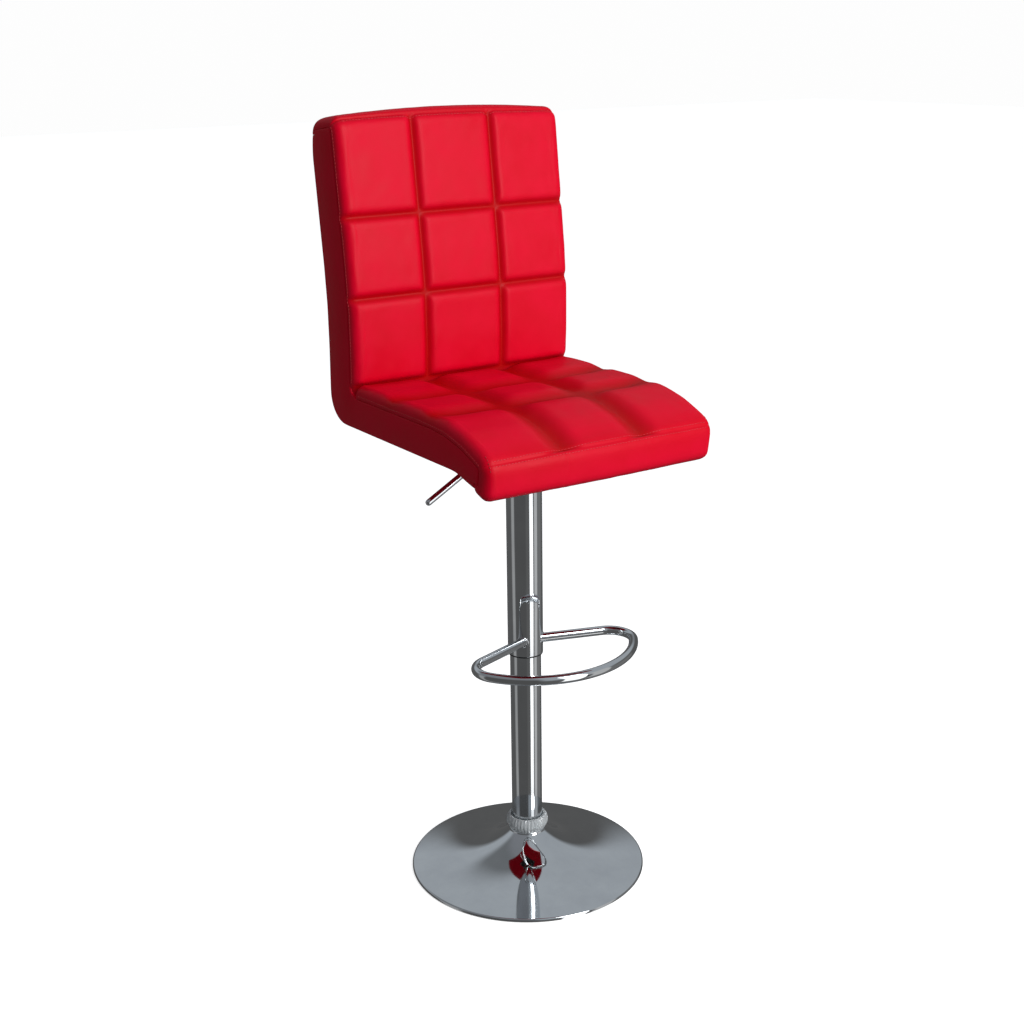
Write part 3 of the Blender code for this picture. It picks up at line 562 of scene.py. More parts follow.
# %% [markdown]
# ## The sewn panel
#
# A quilted cover starts as flat leatherette. Rows of stitching draw it down into the foam, and between
# them it stands up in puffs. Here the flat panel is a grid with its lines crowded towards the seams. The
# grid is extruded into a closed slab and laid on the pad's profile: each point goes down by its depth in
# the foam, and up by how far it is from the nearest seam, along a curve that rises quickly and then
# levels out, as foam does beside a seam. The edges roll over a radius into the groove where the side
# panel is sewn on.

# %% Panel rules
EDGE_ROLL = 0.015
GROOVE = 0.0011
TUCK = 0.0036
LIP = 0.0009
ROLL_STEPS = 7
CROWDING = 0.75


def crowd(first, last, count):
    """Stations from first to last, closer together near both ends."""
    share = np.linspace(0, 1, count + 1)
    eased = share - CROWDING * np.sin(FULL_TURN * share) / FULL_TURN
    return first + (last - first) * eased


def stations(marks, counts):
    """Crowded stations between every two marks, joined."""
    parts = [crowd(a, b, n)[:-1] for a, b, n in zip(marks, marks[1:], counts)]
    return np.concatenate(parts + [[marks[-1]]])


def section(seam_x, tile_steps, roll=EDGE_ROLL):
    """Across the pad: (x, depth) from one side's groove, over the front, to the other side's groove."""
    flat = HALF_WIDTH - roll
    middle = stations([-flat, -seam_x, seam_x, flat], [tile_steps] * 3)
    turns = [math.pi / 2 * i / ROLL_STEPS for i in range(1, ROLL_STEPS + 1)]
    right = [(flat + roll * math.sin(t), roll * (1 - math.cos(t))) for t in turns]
    right += [(HALF_WIDTH - LIP, roll + GROOVE), (HALF_WIDTH - TUCK, roll + 1.6 * GROOVE)]
    left = [(-x, depth) for x, depth in right[::-1]]
    return np.array(left + [(x, 0.0) for x in middle] + right)


def rise(distance, easing, nip=0.04):
    """0 on a seam: a sharp nip at the stitches, then a rounded shoulder up to 1."""
    share = np.clip(np.abs(distance) / (1.45 * easing), 0, 1)
    shoulder = share * share * (3 - 2 * share)
    return nip * (1 - np.exp(-np.abs(distance) / (0.22 * easing))) + (1 - nip) * shoulder


def seam_distance(values, seams):
    """How far each value is from the nearest seam."""
    return np.min([np.abs(values - seam) for seam in seams], axis=0)


def flat_panel(name, columns, rows):
    """A grid cut to columns by rows, extruded once into a closed slab."""
    bpy.ops.object.select_all(action="DESELECT")
    bpy.ops.mesh.primitive_grid_add(
        x_subdivisions=columns - 1, y_subdivisions=rows - 1, size=2, location=(0, 0, 0)
    )
    made = named(name)
    edit(made, "FACE")
    bpy.ops.mesh.select_all(action="SELECT")
    bpy.ops.mesh.extrude_region_move(TRANSFORM_OT_translate={"value": (0, 0, -1)})
    leave()
    return made


def lay(made, columns, rows, outer, inner):
    """Puts the panel's top grid on the outer points and its bottom grid on the inner ones."""
    flat = np.array([vert.co for vert in made.data.vertices])
    i = np.rint((flat[:, 0] + 1) / 2 * (columns - 1)).astype(int)
    j = np.rint((flat[:, 1] + 1) / 2 * (rows - 1)).astype(int)
    top = flat[:, 2] > -0.5
    placed = np.where(top[:, None], outer[i, j], inner[i, j])
    made.data.vertices.foreach_set("co", placed.astype(np.float32).ravel())
    made.data.update()
    return i, j, top


def pad_points(cross, line, distances, height, inner_line, inner_share):
    """The outer and inner points of a pad, as arrays of columns by rows by xyz."""
    spots, normals = at(line, distances)
    columns, rows = len(cross), len(distances)
    outer = np.zeros((columns, rows, 3))
    inner = np.zeros((columns, rows, 3))
    lift = height - cross[:, 1][:, None]
    outer[:, :, 0] = cross[:, 0][:, None]
    outer[:, :, 1:] = spots[None] + normals[None] * lift[:, :, None]
    length = along(inner_line)
    behind, _ = at(inner_line, inner_share * length[-1])
    inner[:, :, 0] = np.clip(cross[:, 0], -HALF_WIDTH + TUCK, HALF_WIDTH - TUCK)[:, None]
    inner[:, :, 1:] = behind[None]
    return outer, inner


# %% [markdown]
# ## Puffing the quilt by simulation
#
# The laid panel is already the right shape, but it is too even to be cloth over foam. A short cloth run
# with a little air pressure lets each puff find its own form, while the seams, the rim and the hidden
# side are pinned. Nobody's cover is cut perfectly, so small seeded unevenness goes in first. How far any
# point may move is capped, and the result is applied.

# %% Cloth run
PUFF_FRAMES = 18
PUFF_CAP = 0.006
UNEVENNESS = 0.00025


def puff(made, pin_weights, seed, pressure=3.5, slack=-0.03):
    """Inflates a closed pad gently with its pinned points held, then applies the result."""
    noise = np.random.default_rng(seed).normal(0, UNEVENNESS, (len(made.data.vertices), 3))
    rest = np.array([vert.co for vert in made.data.vertices])
    loose = (1 - pin_weights)[:, None]
    made.data.vertices.foreach_set("co", (rest + noise * loose).astype(np.float32).ravel())
    group = made.vertex_groups.new(name="held")
    for index, weight in enumerate(pin_weights):
        group.add([index], float(weight), "REPLACE")
    cloth = made.modifiers.new("puff", "CLOTH")
    settings = cloth.settings
    settings.quality = 6
    settings.mass = 0.35
    settings.tension_stiffness = 12
    settings.compression_stiffness = 12
    settings.shear_stiffness = 6
    settings.bending_stiffness = 1.2
    settings.air_damping = 4
    settings.use_pressure = True
    settings.uniform_pressure_force = pressure
    settings.shrink_min = slack
    settings.vertex_group_mass = "held"
    settings.effector_weights.gravity = 0
    cloth.collision_settings.use_collision = False
    scene = bpy.context.scene
    for step in range(1, PUFF_FRAMES + 1):
        scene.frame_set(step)
    only(made)
    bpy.ops.object.modifier_apply(modifier=cloth.name)
    scene.frame_set(1)
    moved = np.array([vert.co for vert in made.data.vertices]) - rest
    travel = np.linalg.norm(moved, axis=1)
    capped = moved * np.minimum(1, PUFF_CAP / np.maximum(travel, 1e-9))[:, None]
    made.data.vertices.foreach_set("co", (rest + capped).astype(np.float32).ravel())
    made.vertex_groups.clear()
    made.data.update()
    print(made.name, "puffed by up to", round(float(travel.max()) / MM, 1), "mm, kept to", PUFF_CAP / MM)


def mark_seam_shade(made, values):
    """Writes 1 in a fold and 0 on a puff, for the darker red of the folds' painted shade."""
    attribute = made.data.attributes.new("seam_shade", "FLOAT", "POINT")
    attribute.data.foreach_set("value", np.clip(values, 0, 1).astype(np.float32))


def refine(made):
    """Divides a laid skin once more, which rounds its facets."""
    modifier = made.modifiers.new("skin", "SUBSURF")
    modifier.levels = 1
    modifier.render_levels = 1
    apply_all(made)


# %% [markdown]
# ## The back pad
#
# Three by three puffs. The upright seams are 139 mm apart, and the cross seams stand 136 mm and 259 mm
# above the seat. At the top the panel rolls over and ends in a stitched line, behind which a plain strip
# crosses to the rear cover.

# %% Back pad
BACK_SEAM_X = 0.0695
BACK_SEAMS = (0.941, 1.063)
BACK_PUFF = 0.0075
BACK_DRAW = 0.0060
BACK_EASING = 0.0075
TOP_SEAM_DROP = 0.0035
TOP_CROWN = 0.009
TILE_COLUMNS = 20
BACK_ROW_COUNTS = [5, 18, 17, 19, 16]
COVER_DROP = 0.03
END_GAP = 0.0005
FOOT_GAP = 0.002
FOAM_GRIP = 0.25
SEWN_DOWN = 0.85

front_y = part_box("seat_cushion")[1].y
rear_y, top_z = back_rim.max(axis=0)
# Spots near the corners of the pad's outline, where its front and its shell side begin, pass and end.
back_foot = (front_y, back_rim[:, 1].min())
back_front = (front_y, SEAT_TOP + 0.1)
cover_start = (rear_y, top_z - COVER_DROP)
shell_back = (rear_y - 0.042, 0.95)
shell_end = (rear_y - 0.0185, top_z - 0.0275)
back_outer = smooth_line(span(back_rim, back_foot, back_front, cover_start))
back_inner = smooth_line(span(back_rim, back_foot, shell_back, shell_end))
print("back line is", round(along(back_outer)[-1] / MM), "mm long, ends at", (back_outer[-1] / MM).round(1))


def crossing(line, axis, value, last=False):
    """The length along a line where it first, or last, crosses a value of y (axis 0) or z (axis 1)."""
    side = np.sign(line[:, axis] - value)
    places = np.nonzero(side[:-1] * side[1:] <= 0)[0]
    place = places[-1 if last else 0]
    low, high = line[place, axis], line[place + 1, axis]
    share = 0.0 if high == low else (value - low) / (high - low)
    length = along(line)
    return float(length[place] + share * (length[place + 1] - length[place]))


def seam_pull(distances, seams, easing):
    """1 between seams, falling to 1 - weight on each (place, weight) seam."""
    return np.min([1 - weight * (1 - rise(distances - place, easing)) for place, weight in seams], axis=0)


def make_pad(name, replaced, cross, distances, lines, height, inner_share, held, seam_shade, seed):
    """Lays, puffs and refines one pad, and returns the points of its skin before refining."""
    columns, rows = len(cross), len(distances)
    line, inner_line = lines
    outer, inner = pad_points(cross, line, distances, height, inner_line, inner_share)
    pad = flat_panel(name, columns, rows)
    i, j, top = lay(pad, columns, rows, outer, inner)
    # The darker red of the seams' painted shade is marked on the top skin only.
    mark_seam_shade(pad, np.where(top, seam_shade[i, j], 0))
    edit(pad)
    bpy.ops.mesh.select_all(action="SELECT")
    bpy.ops.mesh.normals_make_consistent(inside=False)
    leave()
    puff(pad, np.where(top, held[i, j], 1.0), seed)
    skin = np.zeros_like(outer)
    placed = np.array([vert.co for vert in pad.data.vertices])
    skin[i[top], j[top]] = placed[top]
    refine(pad)
    complete(pad, "seat", "cushion", LEATHER, replaced, smooth=60)
    return skin


def edge_fade(cross, roll=EDGE_ROLL):
    """1 on the flat of the section, falling to 0 at the bottom of its rolled edges."""
    return np.clip(1 - cross[:, 1] / roll, 0, 1)


def bow(cross):
    """1 in the middle of the section, falling to 0 at its sides."""
    return 1 - (cross[:, 0] / HALF_WIDTH) ** 2


def hold(seam_shade, fade):
    """How firmly each point is held in the cloth run: fully where it is sewn down and on the rolled edges."""
    return np.clip(FOAM_GRIP + (1 - FOAM_GRIP) * ((seam_shade > SEWN_DOWN) + (1 - fade)), 0, 1)


back_cross = section(BACK_SEAM_X, TILE_COLUMNS)
junction, seam_low, seam_high, top_seam = (
    crossing(back_outer, 1, level) for level in (SEAT_TOP, *BACK_SEAMS, top_z - TOP_SEAM_DROP)
)
back_end = along(back_outer)[-1]
back_rows = stations([FOOT_GAP, junction, seam_low, seam_high, top_seam, back_end - END_GAP], BACK_ROW_COUNTS)
print("back pad:", len(back_cross), "columns by", len(back_rows), "rows")

# %% [markdown]
# ## Laying the back pad
#
# The height of every point is one sum: the puff between the seams, less how far the whole quilt is drawn
# down, plus a crown along the top, less a nip at the stitched line. The rolled edges take less of it, so
# that they still meet the side panels. The same values say which points the cloth run may move.

# %% Lay and puff the back pad
ROLL_SHARE = 0.3
TOP_NIP = (0.0010, 0.0015)
FOOT_ROWS = 5
SHELL_LEVELS = (0.83, 1.17)
back_fade = edge_fade(back_cross)[:, None]
across = np.where(
    back_rows[None] < top_seam,
    rise(seam_distance(back_cross[:, 0], (-BACK_SEAM_X, BACK_SEAM_X)), BACK_EASING)[:, None],
    1.0,
)
upward = seam_pull(
    back_rows, [(junction, 1.0), (seam_low, 1.0), (seam_high, 1.0), (top_seam, 0.5)], BACK_EASING
)[None]
over_top = np.maximum(0, at(back_outer, back_rows)[1][:, 1])[None] ** 2
back_height = (BACK_PUFF * across * upward - BACK_DRAW) * (ROLL_SHARE + (1 - ROLL_SHARE) * back_fade)
back_height = np.where(back_rows[None] > top_seam, 0, back_height)
back_height = np.where(back_rows[None] < junction, -BACK_DRAW, back_height)
back_height = back_height + TOP_CROWN * bow(back_cross)[:, None] * over_top
back_height -= TOP_NIP[0] * np.exp(-np.abs(back_rows - top_seam) / TOP_NIP[1])[None] * back_fade
# 1 in the seams between puffs: where the darker red is painted as painted shade, and where the cloth run
#                               holds the skin.
back_seam_shade = (1 - across * upward) * back_fade
back_held = np.where(np.arange(len(back_rows))[None] < FOOT_ROWS, 1.0, hold(back_seam_shade, back_fade))
back_share = np.interp(
    back_rows,
    [0, *(crossing(back_outer, 1, level) for level in SHELL_LEVELS), back_end],
    [0, *(crossing(back_inner, 1, level) / along(back_inner)[-1] for level in SHELL_LEVELS), 1],
)
back_skin = make_pad(
    "back_pad_quilted",
    "back_cushion",
    back_cross,
    back_rows,
    (back_outer, back_inner),
    back_height,
    back_share,
    back_held,
    back_seam_shade,
    seed=11,
)

# %% [markdown]
# ## The seat pad
#
# The seat's puffs are deeper than the back's, because the foam is thicker and is sat on. The front row
# runs over the waterfall edge to a line of twin-needle stitching. Below it, a plain front band bows
# forward in the middle and turns under the shell's front edge.

# %% Seat pad
SEAT_SEAMS = (0.055, -0.057)
SEAT_PUFF = 0.0105
SEAT_EASING = 0.024
SEAT_CALM = 0.05
SEAT_LIFT = 0.0052
FRONT_SEAM_LEVEL = 0.7645
FRONT_BOW = 0.008
FRONT_NIP = (0.0016, 0.0018)
SEAT_ROW_COUNTS = [16, 24, 17, 17]
REAR_GAP = 0.0003
SEWN_STRIP = 0.002
nose_y = seat_rim[:, 0].min()
shelf = seat_rim[:, 1][np.argmax(seat_rim[:, 0] - seat_rim[:, 1])]
# Spots near the corners of the seat's outline, as for the back.
tuck_end = (nose_y + 0.0323, 0.7210)
front_face = (nose_y, 0.755)
shell_nose = (nose_y + 0.0254, 0.7383)
shell_top = (nose_y + 0.09, 0.7566)
shell_bend = AXIS_Y - 0.15
seat_outer = smooth_line(span(seat_rim, tuck_end, front_face, (front_y, SEAT_TOP)))
seat_inner = smooth_line(span(seat_rim, shell_nose, shell_top, (front_y, shelf)))
front_seam = crossing(seat_outer, 1, FRONT_SEAM_LEVEL)
seam_rear, seam_front = (crossing(seat_outer, 0, AXIS_Y + place) for place in SEAT_SEAMS)
seat_end = along(seat_outer)[-1]
seat_rows = stations([END_GAP, front_seam, seam_front, seam_rear, seat_end - REAR_GAP], SEAT_ROW_COUNTS)
seat_cross = section(BACK_SEAM_X, TILE_COLUMNS)
print("seat pad:", len(seat_cross), "by", len(seat_rows), "points, front seam at", round(front_seam / MM))

# %% [markdown]
# ## Laying the seat pad
#
# The seat's height is a sum like the back's. Its rows of puffs flatten towards the two sides, where the
# cover is pulled tight over the foam's edge, and the whole pad stands a little proud of its foam.

# %% Lay and puff the seat pad

seat_fade = edge_fade(seat_cross)[:, None]
behind_seam = seat_rows[None] > front_seam
across = np.where(
    behind_seam,
    rise(seam_distance(seat_cross[:, 0], (-BACK_SEAM_X, BACK_SEAM_X)), SEAT_EASING)[:, None],
    1.0,
)
lengthwise = seam_pull(
    seat_rows, [(front_seam, 0.3), (seam_front, 1.0), (seam_rear, 1.0), (seat_end, 0.3)], SEAT_EASING
)[None]
seat_calm = np.clip((HALF_WIDTH - np.abs(seat_cross[:, 0])) / SEAT_CALM, 0, 1)[:, None]
seat_height = SEAT_PUFF * (across * lengthwise - 1) * (ROLL_SHARE + (1 - ROLL_SHARE) * seat_calm) * seat_fade
seat_height = seat_height + SEAT_LIFT * (0.1 + 0.9 * seat_fade)
forward = np.maximum(0, -at(seat_outer, seat_rows)[1][:, 0])[None] ** 2
seat_height = seat_height + FRONT_BOW * bow(seat_cross)[:, None] * forward
seat_height -= FRONT_NIP[0] * np.exp(-np.abs(seat_rows - front_seam) / FRONT_NIP[1])[None] * seat_fade
# 1 in the seams between puffs: where the darker red is painted as painted shade, and where the cloth run
#                               holds the skin.
seat_seam_shade = (1 - across * lengthwise) * seat_fade
on_front_seam = (np.abs(seat_rows - front_seam) < SEWN_STRIP)[None]
seat_held = np.where(on_front_seam, 1.0, hold(seat_seam_shade, seat_fade))
seat_share = np.interp(
    seat_rows,
    [0, crossing(seat_outer, 0, shell_bend, last=True), seat_end],
    [0, crossing(seat_inner, 0, shell_bend) / along(seat_inner)[-1], 1],
)
seat_skin = make_pad(
    "seat_pad_quilted",
    "seat_cushion",
    seat_cross,
    seat_rows,
    (seat_outer, seat_inner),
    seat_height,
    seat_share,
    seat_held,
    seat_seam_shade,
    seed=23,
)

# %% [markdown]
# ## The rear cover
#
# One plain panel runs from the front edge, under the seat, round the bend and up the back. It is pulled
# over thin wadding, so it is nearly flat. It rolls tightly round its long edges to meet the side panels,
# and more widely near its two ends, where it is sewn to the pads' wide rolls.

# %% Rear cover
UNDER_DEPTH = 0.0057
UNDER_ROLL = 0.0045
UNDER_DRAW = 0.0012
UNDER_BOW = 0.0016
UNDER_ROWS = 120
UNDER_COLUMNS = 7
LEAST_WALL = 0.0002
WIDEN_OVER = 0.035


def widening(from_end):
    """1 at an end of the cover, where it is as wide as the pads, falling to 0 over a short length."""
    return np.clip(1 - from_end / WIDEN_OVER, 0, 1) ** 1.5


under_start = under_rim[np.argmax(under_rim[:, 0] + 0.5 * under_rim[:, 1])]
below_seat = (AXIS_Y + 0.10, 0.70)
under_outer = smooth_line(span(under_rim, under_start, below_seat, tuck_end))
under_length = along(under_outer)[-1]
under_rows = np.linspace(END_GAP, under_length - END_GAP, UNDER_ROWS)
under_cross = section(BACK_SEAM_X, UNDER_COLUMNS, UNDER_ROLL)
spots, outward = at(under_outer, under_rows)
columns, rows = len(under_cross), len(under_rows)
under_swell = (UNDER_BOW * bow(under_cross)[:, None] - UNDER_DRAW) * np.ones(rows)[None]
widen = widening(np.minimum(under_rows, under_length - under_rows))[None, :, None]
wide_cross = section(BACK_SEAM_X, UNDER_COLUMNS)[:, None, :]
under_section = widen * wide_cross + (1 - widen) * under_cross[:, None, :]
under_swell = under_swell * (1 - widen[:, :, 0])
outer = np.zeros((columns, rows, 3))
inner = np.zeros((columns, rows, 3))
outer[:, :, 0] = under_section[:, :, 0]
outer[:, :, 1:] = spots[None] + outward[None] * (under_swell - under_section[:, :, 1])[:, :, None]
inner[:, :, 0] = np.clip(under_section[:, :, 0], -HALF_WIDTH + TUCK, HALF_WIDTH - TUCK)
inside = np.maximum(under_section[:, :, 1] + LEAST_WALL, UNDER_DEPTH)
inner[:, :, 1:] = spots[None] - outward[None] * inside[:, :, None]
rear_cover = flat_panel("rear_cover", columns, rows)
lay(rear_cover, columns, rows, outer, inner)
edit(rear_cover)
bpy.ops.mesh.select_all(action="SELECT")
bpy.ops.mesh.normals_make_consistent(inside=False)
leave()
refine(rear_cover)
complete(rear_cover, "seat", "leather", LEATHER, "under_cover", smooth=60)

# %% [markdown]
# ## The side panels
#
# Each side is one flat L of leatherette, sewn to the front cover along one edge and to the rear cover
# along the other. Its outline is the stool's side profile moved inward by the roll of the pads, and less
# beside the rear cover's tight roll. It is filled as one face, extruded to the cover's thickness, and
# inset twice with a little rise each time, which lifts the panel over the foam's side.

# %% Side panels
PANEL_INSET = EDGE_ROLL + 1.2 * GROOVE
BACK_INSET = UNDER_ROLL + 0.8 * GROOVE
PANEL_SINK = 0.0007
PANEL_DEPTH = TUCK + 0.0010
PANEL_STEPS = ((0.0010, 0.0008), (0.0015, 0.0006))
PANEL_SPACING = 0.004
FINE_SPACING = 0.0015
NEAR_FULL = 0.985
BESIDE_PAST = 0.005
BESIDE_FADE = 0.003
boxing_rim = side_outline("boxing_left")


def evenly(points, spacing):
    """A closed outline as points at one spacing."""
    closed = np.vstack([points, points[:1]])
    length = along(closed)
    even = np.linspace(0, length[-1], int(length[-1] / spacing), endpoint=False)
    return np.column_stack([np.interp(even, length, closed[:, k]) for k in (0, 1)])


def inset_loop(points, reach_in):
    """A closed outline moved inward, without the loops of tight corners."""
    dense = evenly(points, FINE_SPACING)
    ahead = np.roll(dense, -1, axis=0) - np.roll(dense, 1, axis=0)
    ahead /= np.linalg.norm(ahead, axis=1)[:, None]
    turning = np.sum(dense[:, 0] * np.roll(dense[:, 1], -1) - np.roll(dense[:, 0], -1) * dense[:, 1])
    left = np.column_stack([-ahead[:, 1], ahead[:, 0]]) * np.sign(turning)
    moved = dense + left * reach_in
    gaps = np.linalg.norm(moved[:, None] - dense[None], axis=2).min(axis=1)
    return evenly(moved[gaps > reach_in * NEAR_FULL], PANEL_SPACING)


def meet_cover(points):
    """Moves the points beside the rear cover out to its tighter roll, fading where the cover widens."""
    steps = np.linspace(0, under_length, 800)
    line, out = at(under_outer, steps)
    away = np.linalg.norm(points[:, None] - line[None], axis=2)
    nearest_step = away.argmin(axis=1)
    beside = np.clip((PANEL_INSET + BESIDE_PAST - away.min(axis=1)) / BESIDE_FADE, 0, 1)
    tight = 1 - widening(np.minimum(steps, under_length - steps)[nearest_step])
    return points + out[nearest_step] * (beside * tight * (PANEL_INSET - BACK_INSET))[:, None]


side_loop = meet_cover(inset_loop(boxing_rim, PANEL_INSET))
for side_name, side in (("left", 1), ("right", -1)):
    bpy.ops.object.select_all(action="DESELECT")
    bpy.ops.mesh.primitive_circle_add(vertices=len(side_loop), radius=1, fill_type="NGON", location=(0, 0, 0))
    side_panel = named("side_panel_" + side_name)
    outer_x = side * (HALF_WIDTH - PANEL_SINK)
    for vert, (y, z) in zip(side_panel.data.vertices, side_loop):
        vert.co = (outer_x, y, z)
    side_panel.data.update()
    edit(side_panel, "FACE")
    bpy.ops.mesh.select_all(action="SELECT")
    bpy.ops.mesh.extrude_region_move(TRANSFORM_OT_translate={"value": (-side * PANEL_DEPTH, 0, 0)})
    bpy.ops.mesh.select_all(action="SELECT")
    bpy.ops.mesh.normals_make_consistent(inside=False)
    pick(side_panel, lambda centre, normal: normal.x * side > 0.9)
    for step_in, step_up in PANEL_STEPS:
        bpy.ops.mesh.inset(thickness=step_in, depth=step_up, use_even_offset=True)
    bpy.ops.mesh.select_all(action="SELECT")
    bpy.ops.mesh.quads_convert_to_tris(quad_method="BEAUTY", ngon_method="BEAUTY")
    leave()
    complete(side_panel, "seat", "leather", LEATHER, "boxing_" + side_name, smooth=50)

# %% [markdown]
# ## Topstitching
#
# One stitch is a small ball stretched to 4 mm, with two dozen faces. It is repeated along every sewn
# edge: a single row round the sides, one across the top, and the twin rows of the front seam.

# %% One stitch
STITCH_PITCH = 0.0052
STITCH_LENGTH = 0.0040
STITCH_WIDTH = 0.00075
STITCH_SINK = 0.0001
bpy.ops.object.select_all(action="DESELECT")
bpy.ops.mesh.primitive_uv_sphere_add(segments=6, ring_count=4, radius=0.5, rotation=(0, math.pi / 2, 0))
stitch = named("stitch")
bpy.ops.object.transform_apply(rotation=True)
stitch_points = np.array([vert.co for vert in stitch.data.vertices])
stitch_points *= (STITCH_LENGTH, STITCH_WIDTH, STITCH_WIDTH)
stitch_faces = [list(face.vertices) for face in stitch.data.polygons]
bpy.data.objects.remove(stitch)
print("one stitch:", len(stitch_points), "points and", len(stitch_faces), "faces")


def sew(path, outward):
    """Stitches laid end to end along a path of points, standing on the skin that faces outward."""
    length = along(path)
    count = int(length[-1] / STITCH_PITCH)
    middles = (np.arange(count) + 0.5) * length[-1] / count
    place = [np.interp(middles, length, path[:, k]) for k in range(3)]
    up = [np.interp(middles, length, outward[:, k]) for k in range(3)]
    front = [np.interp(middles + STITCH_LENGTH / 4, length, path[:, k]) for k in range(3)]
    back = [np.interp(middles - STITCH_LENGTH / 4, length, path[:, k]) for k in range(3)]
    place, up, ahead = np.array(place).T, np.array(up).T, (np.array(front) - np.array(back)).T
    ahead /= np.linalg.norm(ahead, axis=1)[:, None]
    level = np.cross(up, ahead)
    level /= np.linalg.norm(level, axis=1)[:, None]
    up = np.cross(ahead, level)
    lift = place + up * (STITCH_WIDTH / 2 - STITCH_SINK)
    frames = np.stack([ahead, level, up], axis=1)
    return np.einsum("pk,nkd->npd", stitch_points, frames) + lift[:, None]


def skin_normals(skin):
    """Outward normals of a laid skin of columns by rows points."""
    run = np.gradient(skin, axis=1)
    wide = np.gradient(skin, axis=0)
    normal = np.cross(wide, run)
    return normal / np.maximum(np.linalg.norm(normal, axis=2), 1e-12)[:, :, None]


# %% [markdown]
# ## Rows of stitches
#
# The pads' skins are grids, so every seam is one of their lines: a column for the sides, a row for the
# top and the front. The front's twin rows stand two grid lines to each side of the seam, and short rows
# carry them round its two corners.

# %% Topstitching
SEAM_END = 0.004
back_normals, seat_normals = skin_normals(back_skin), skin_normals(seat_skin)
edge_column = ROLL_STEPS - 4
flat_ends = (ROLL_STEPS + 2, len(back_cross) - ROLL_STEPS - 3)
side_rows = np.nonzero((back_rows > junction + SEAM_END) & (back_rows < top_seam - SEAM_END))[0]
top_row = int(np.argmin(np.abs(back_rows - top_seam))) - 2
seam_row = int(np.argmin(np.abs(seat_rows - front_seam)))
sewn = []
for column in (edge_column, len(back_cross) - 1 - edge_column):
    sewn.append(sew(back_skin[column, side_rows], back_normals[column, side_rows]))
    sewn.append(sew(seat_skin[column, seam_row + 3 : -3], seat_normals[column, seam_row + 3 : -3]))
wide = slice(flat_ends[0], flat_ends[1] + 1)
sewn.append(sew(back_skin[wide, top_row], back_normals[wide, top_row]))
for row in (seam_row - 2, seam_row + 2):
    sewn.append(sew(seat_skin[wide, row], seat_normals[wide, row]))
corner_rows = slice(seam_row - 4, seam_row + 6)
for column in (ROLL_STEPS, len(seat_cross) - 1 - ROLL_STEPS):
    sewn.append(sew(seat_skin[column, corner_rows], seat_normals[column, corner_rows]))
sewn = np.concatenate(sewn)
thread_mesh = bpy.data.meshes.new("topstitching")
per_stitch = len(stitch_points)
all_faces = [[corner + n * per_stitch for corner in face] for n in range(len(sewn)) for face in stitch_faces]
thread_mesh.from_pydata(sewn.reshape(-1, 3).tolist(), [], all_faces)
topstitching = bpy.data.objects.new("topstitching", thread_mesh)
bpy.context.collection.objects.link(topstitching)
complete(topstitching, "seat", "cushion", THREAD, smooth=80)
print(len(sewn), "stitches")

# %% [markdown]
# ## Turned and drawn metal
#
# Tubes and the trumpet base are round, so each is made as on a lathe: a circle is laid at one station of
# the profile, and its loop is extruded and scaled from station to station until it meets itself again.


# %% Lathe
def lathe(name, profile, segments=160):
    """Revolves a closed profile of (radius, height) stations about the column's axis."""
    radius, height = profile[0]
    bpy.ops.object.select_all(action="DESELECT")
    bpy.ops.mesh.primitive_circle_add(vertices=segments, radius=radius, location=(0, AXIS_Y, height))
    made = named(name)
    edit(made)
    bpy.ops.mesh.select_all(action="SELECT")
    for next_radius, next_height in profile[1:] + profile[:1]:
        bpy.ops.mesh.extrude_region_move(TRANSFORM_OT_translate={"value": (0, 0, next_height - height)})
        scale = next_radius / radius
        bpy.ops.transform.resize(value=(scale, scale, 1), center_override=(0, AXIS_Y, next_height))
        radius, height = next_radius, next_height
    leave()
    weld(made)
    return made


def rounded_ring(outer_radius, inner_radius, low, high, round_over=0.0006, steps=3):
    """Stations of a tube whose outer edges are rounded over."""
    turns = [math.pi / 2 * i / steps for i in range(steps + 1)]
    up = [
        (outer_radius - round_over + round_over * math.sin(t), low + round_over - round_over * math.cos(t))
        for t in turns
    ]
    down = [
        (outer_radius - round_over + round_over * math.cos(t), high - round_over + round_over * math.sin(t))
        for t in turns
    ]
    return [(inner_radius, low)] + up + down + [(inner_radius, high)]


# %% [markdown]
# ## The column and its cover tube
#
# Both are straight drawn tubes, cut off square, and their edges are only broken by polishing. The CAD
# boxes give their radii and ends, so only the walls are named here.

# %% Column and cover tube
COLUMN_WALL = 0.002
COVER_WALL = 0.0015


def straight_tube(name, box, wall):
    """A plated tube as wide and as long as a CAD node's box."""
    radius = box[1].x
    return lathe(name, rounded_ring(radius, radius - wall, box[0].z, box[1].z))


column_radius = column_box[1].x
cover_radius = cover_box[1].x
column = straight_tube("column_tube_plated", column_box, COLUMN_WALL)
complete(column, "base", "chrome", CHROME, "column_tube")
cover = straight_tube("cover_tube_plated", cover_box, COVER_WALL)
complete(cover, "seat", "chrome", CHROME, "cover_tube")

# %% [markdown]
# ## The trumpet base
#
# It is a steel disc spun over a former: almost flat at the rim, rising faster and faster into the neck.
# The curve is a straight cone with a steep power curve on top of it. The rim is rolled down to the floor.

# %% Trumpet base
FLARE_CONE = 0.35
FLARE_POWER = 3.55
BASE_WALL = 0.0025
RIM_ROLL = 0.003
RIM_HEIGHT = 0.0065
RIM_FOOT = 0.0016
NECK_HOLE = 0.0148
COLLAR_PROUD = 0.0042
disc_radius = disc_box[1].x
neck_top = disc_box[1].z
neck_radius = collar_box[1].x - COLLAR_PROUD


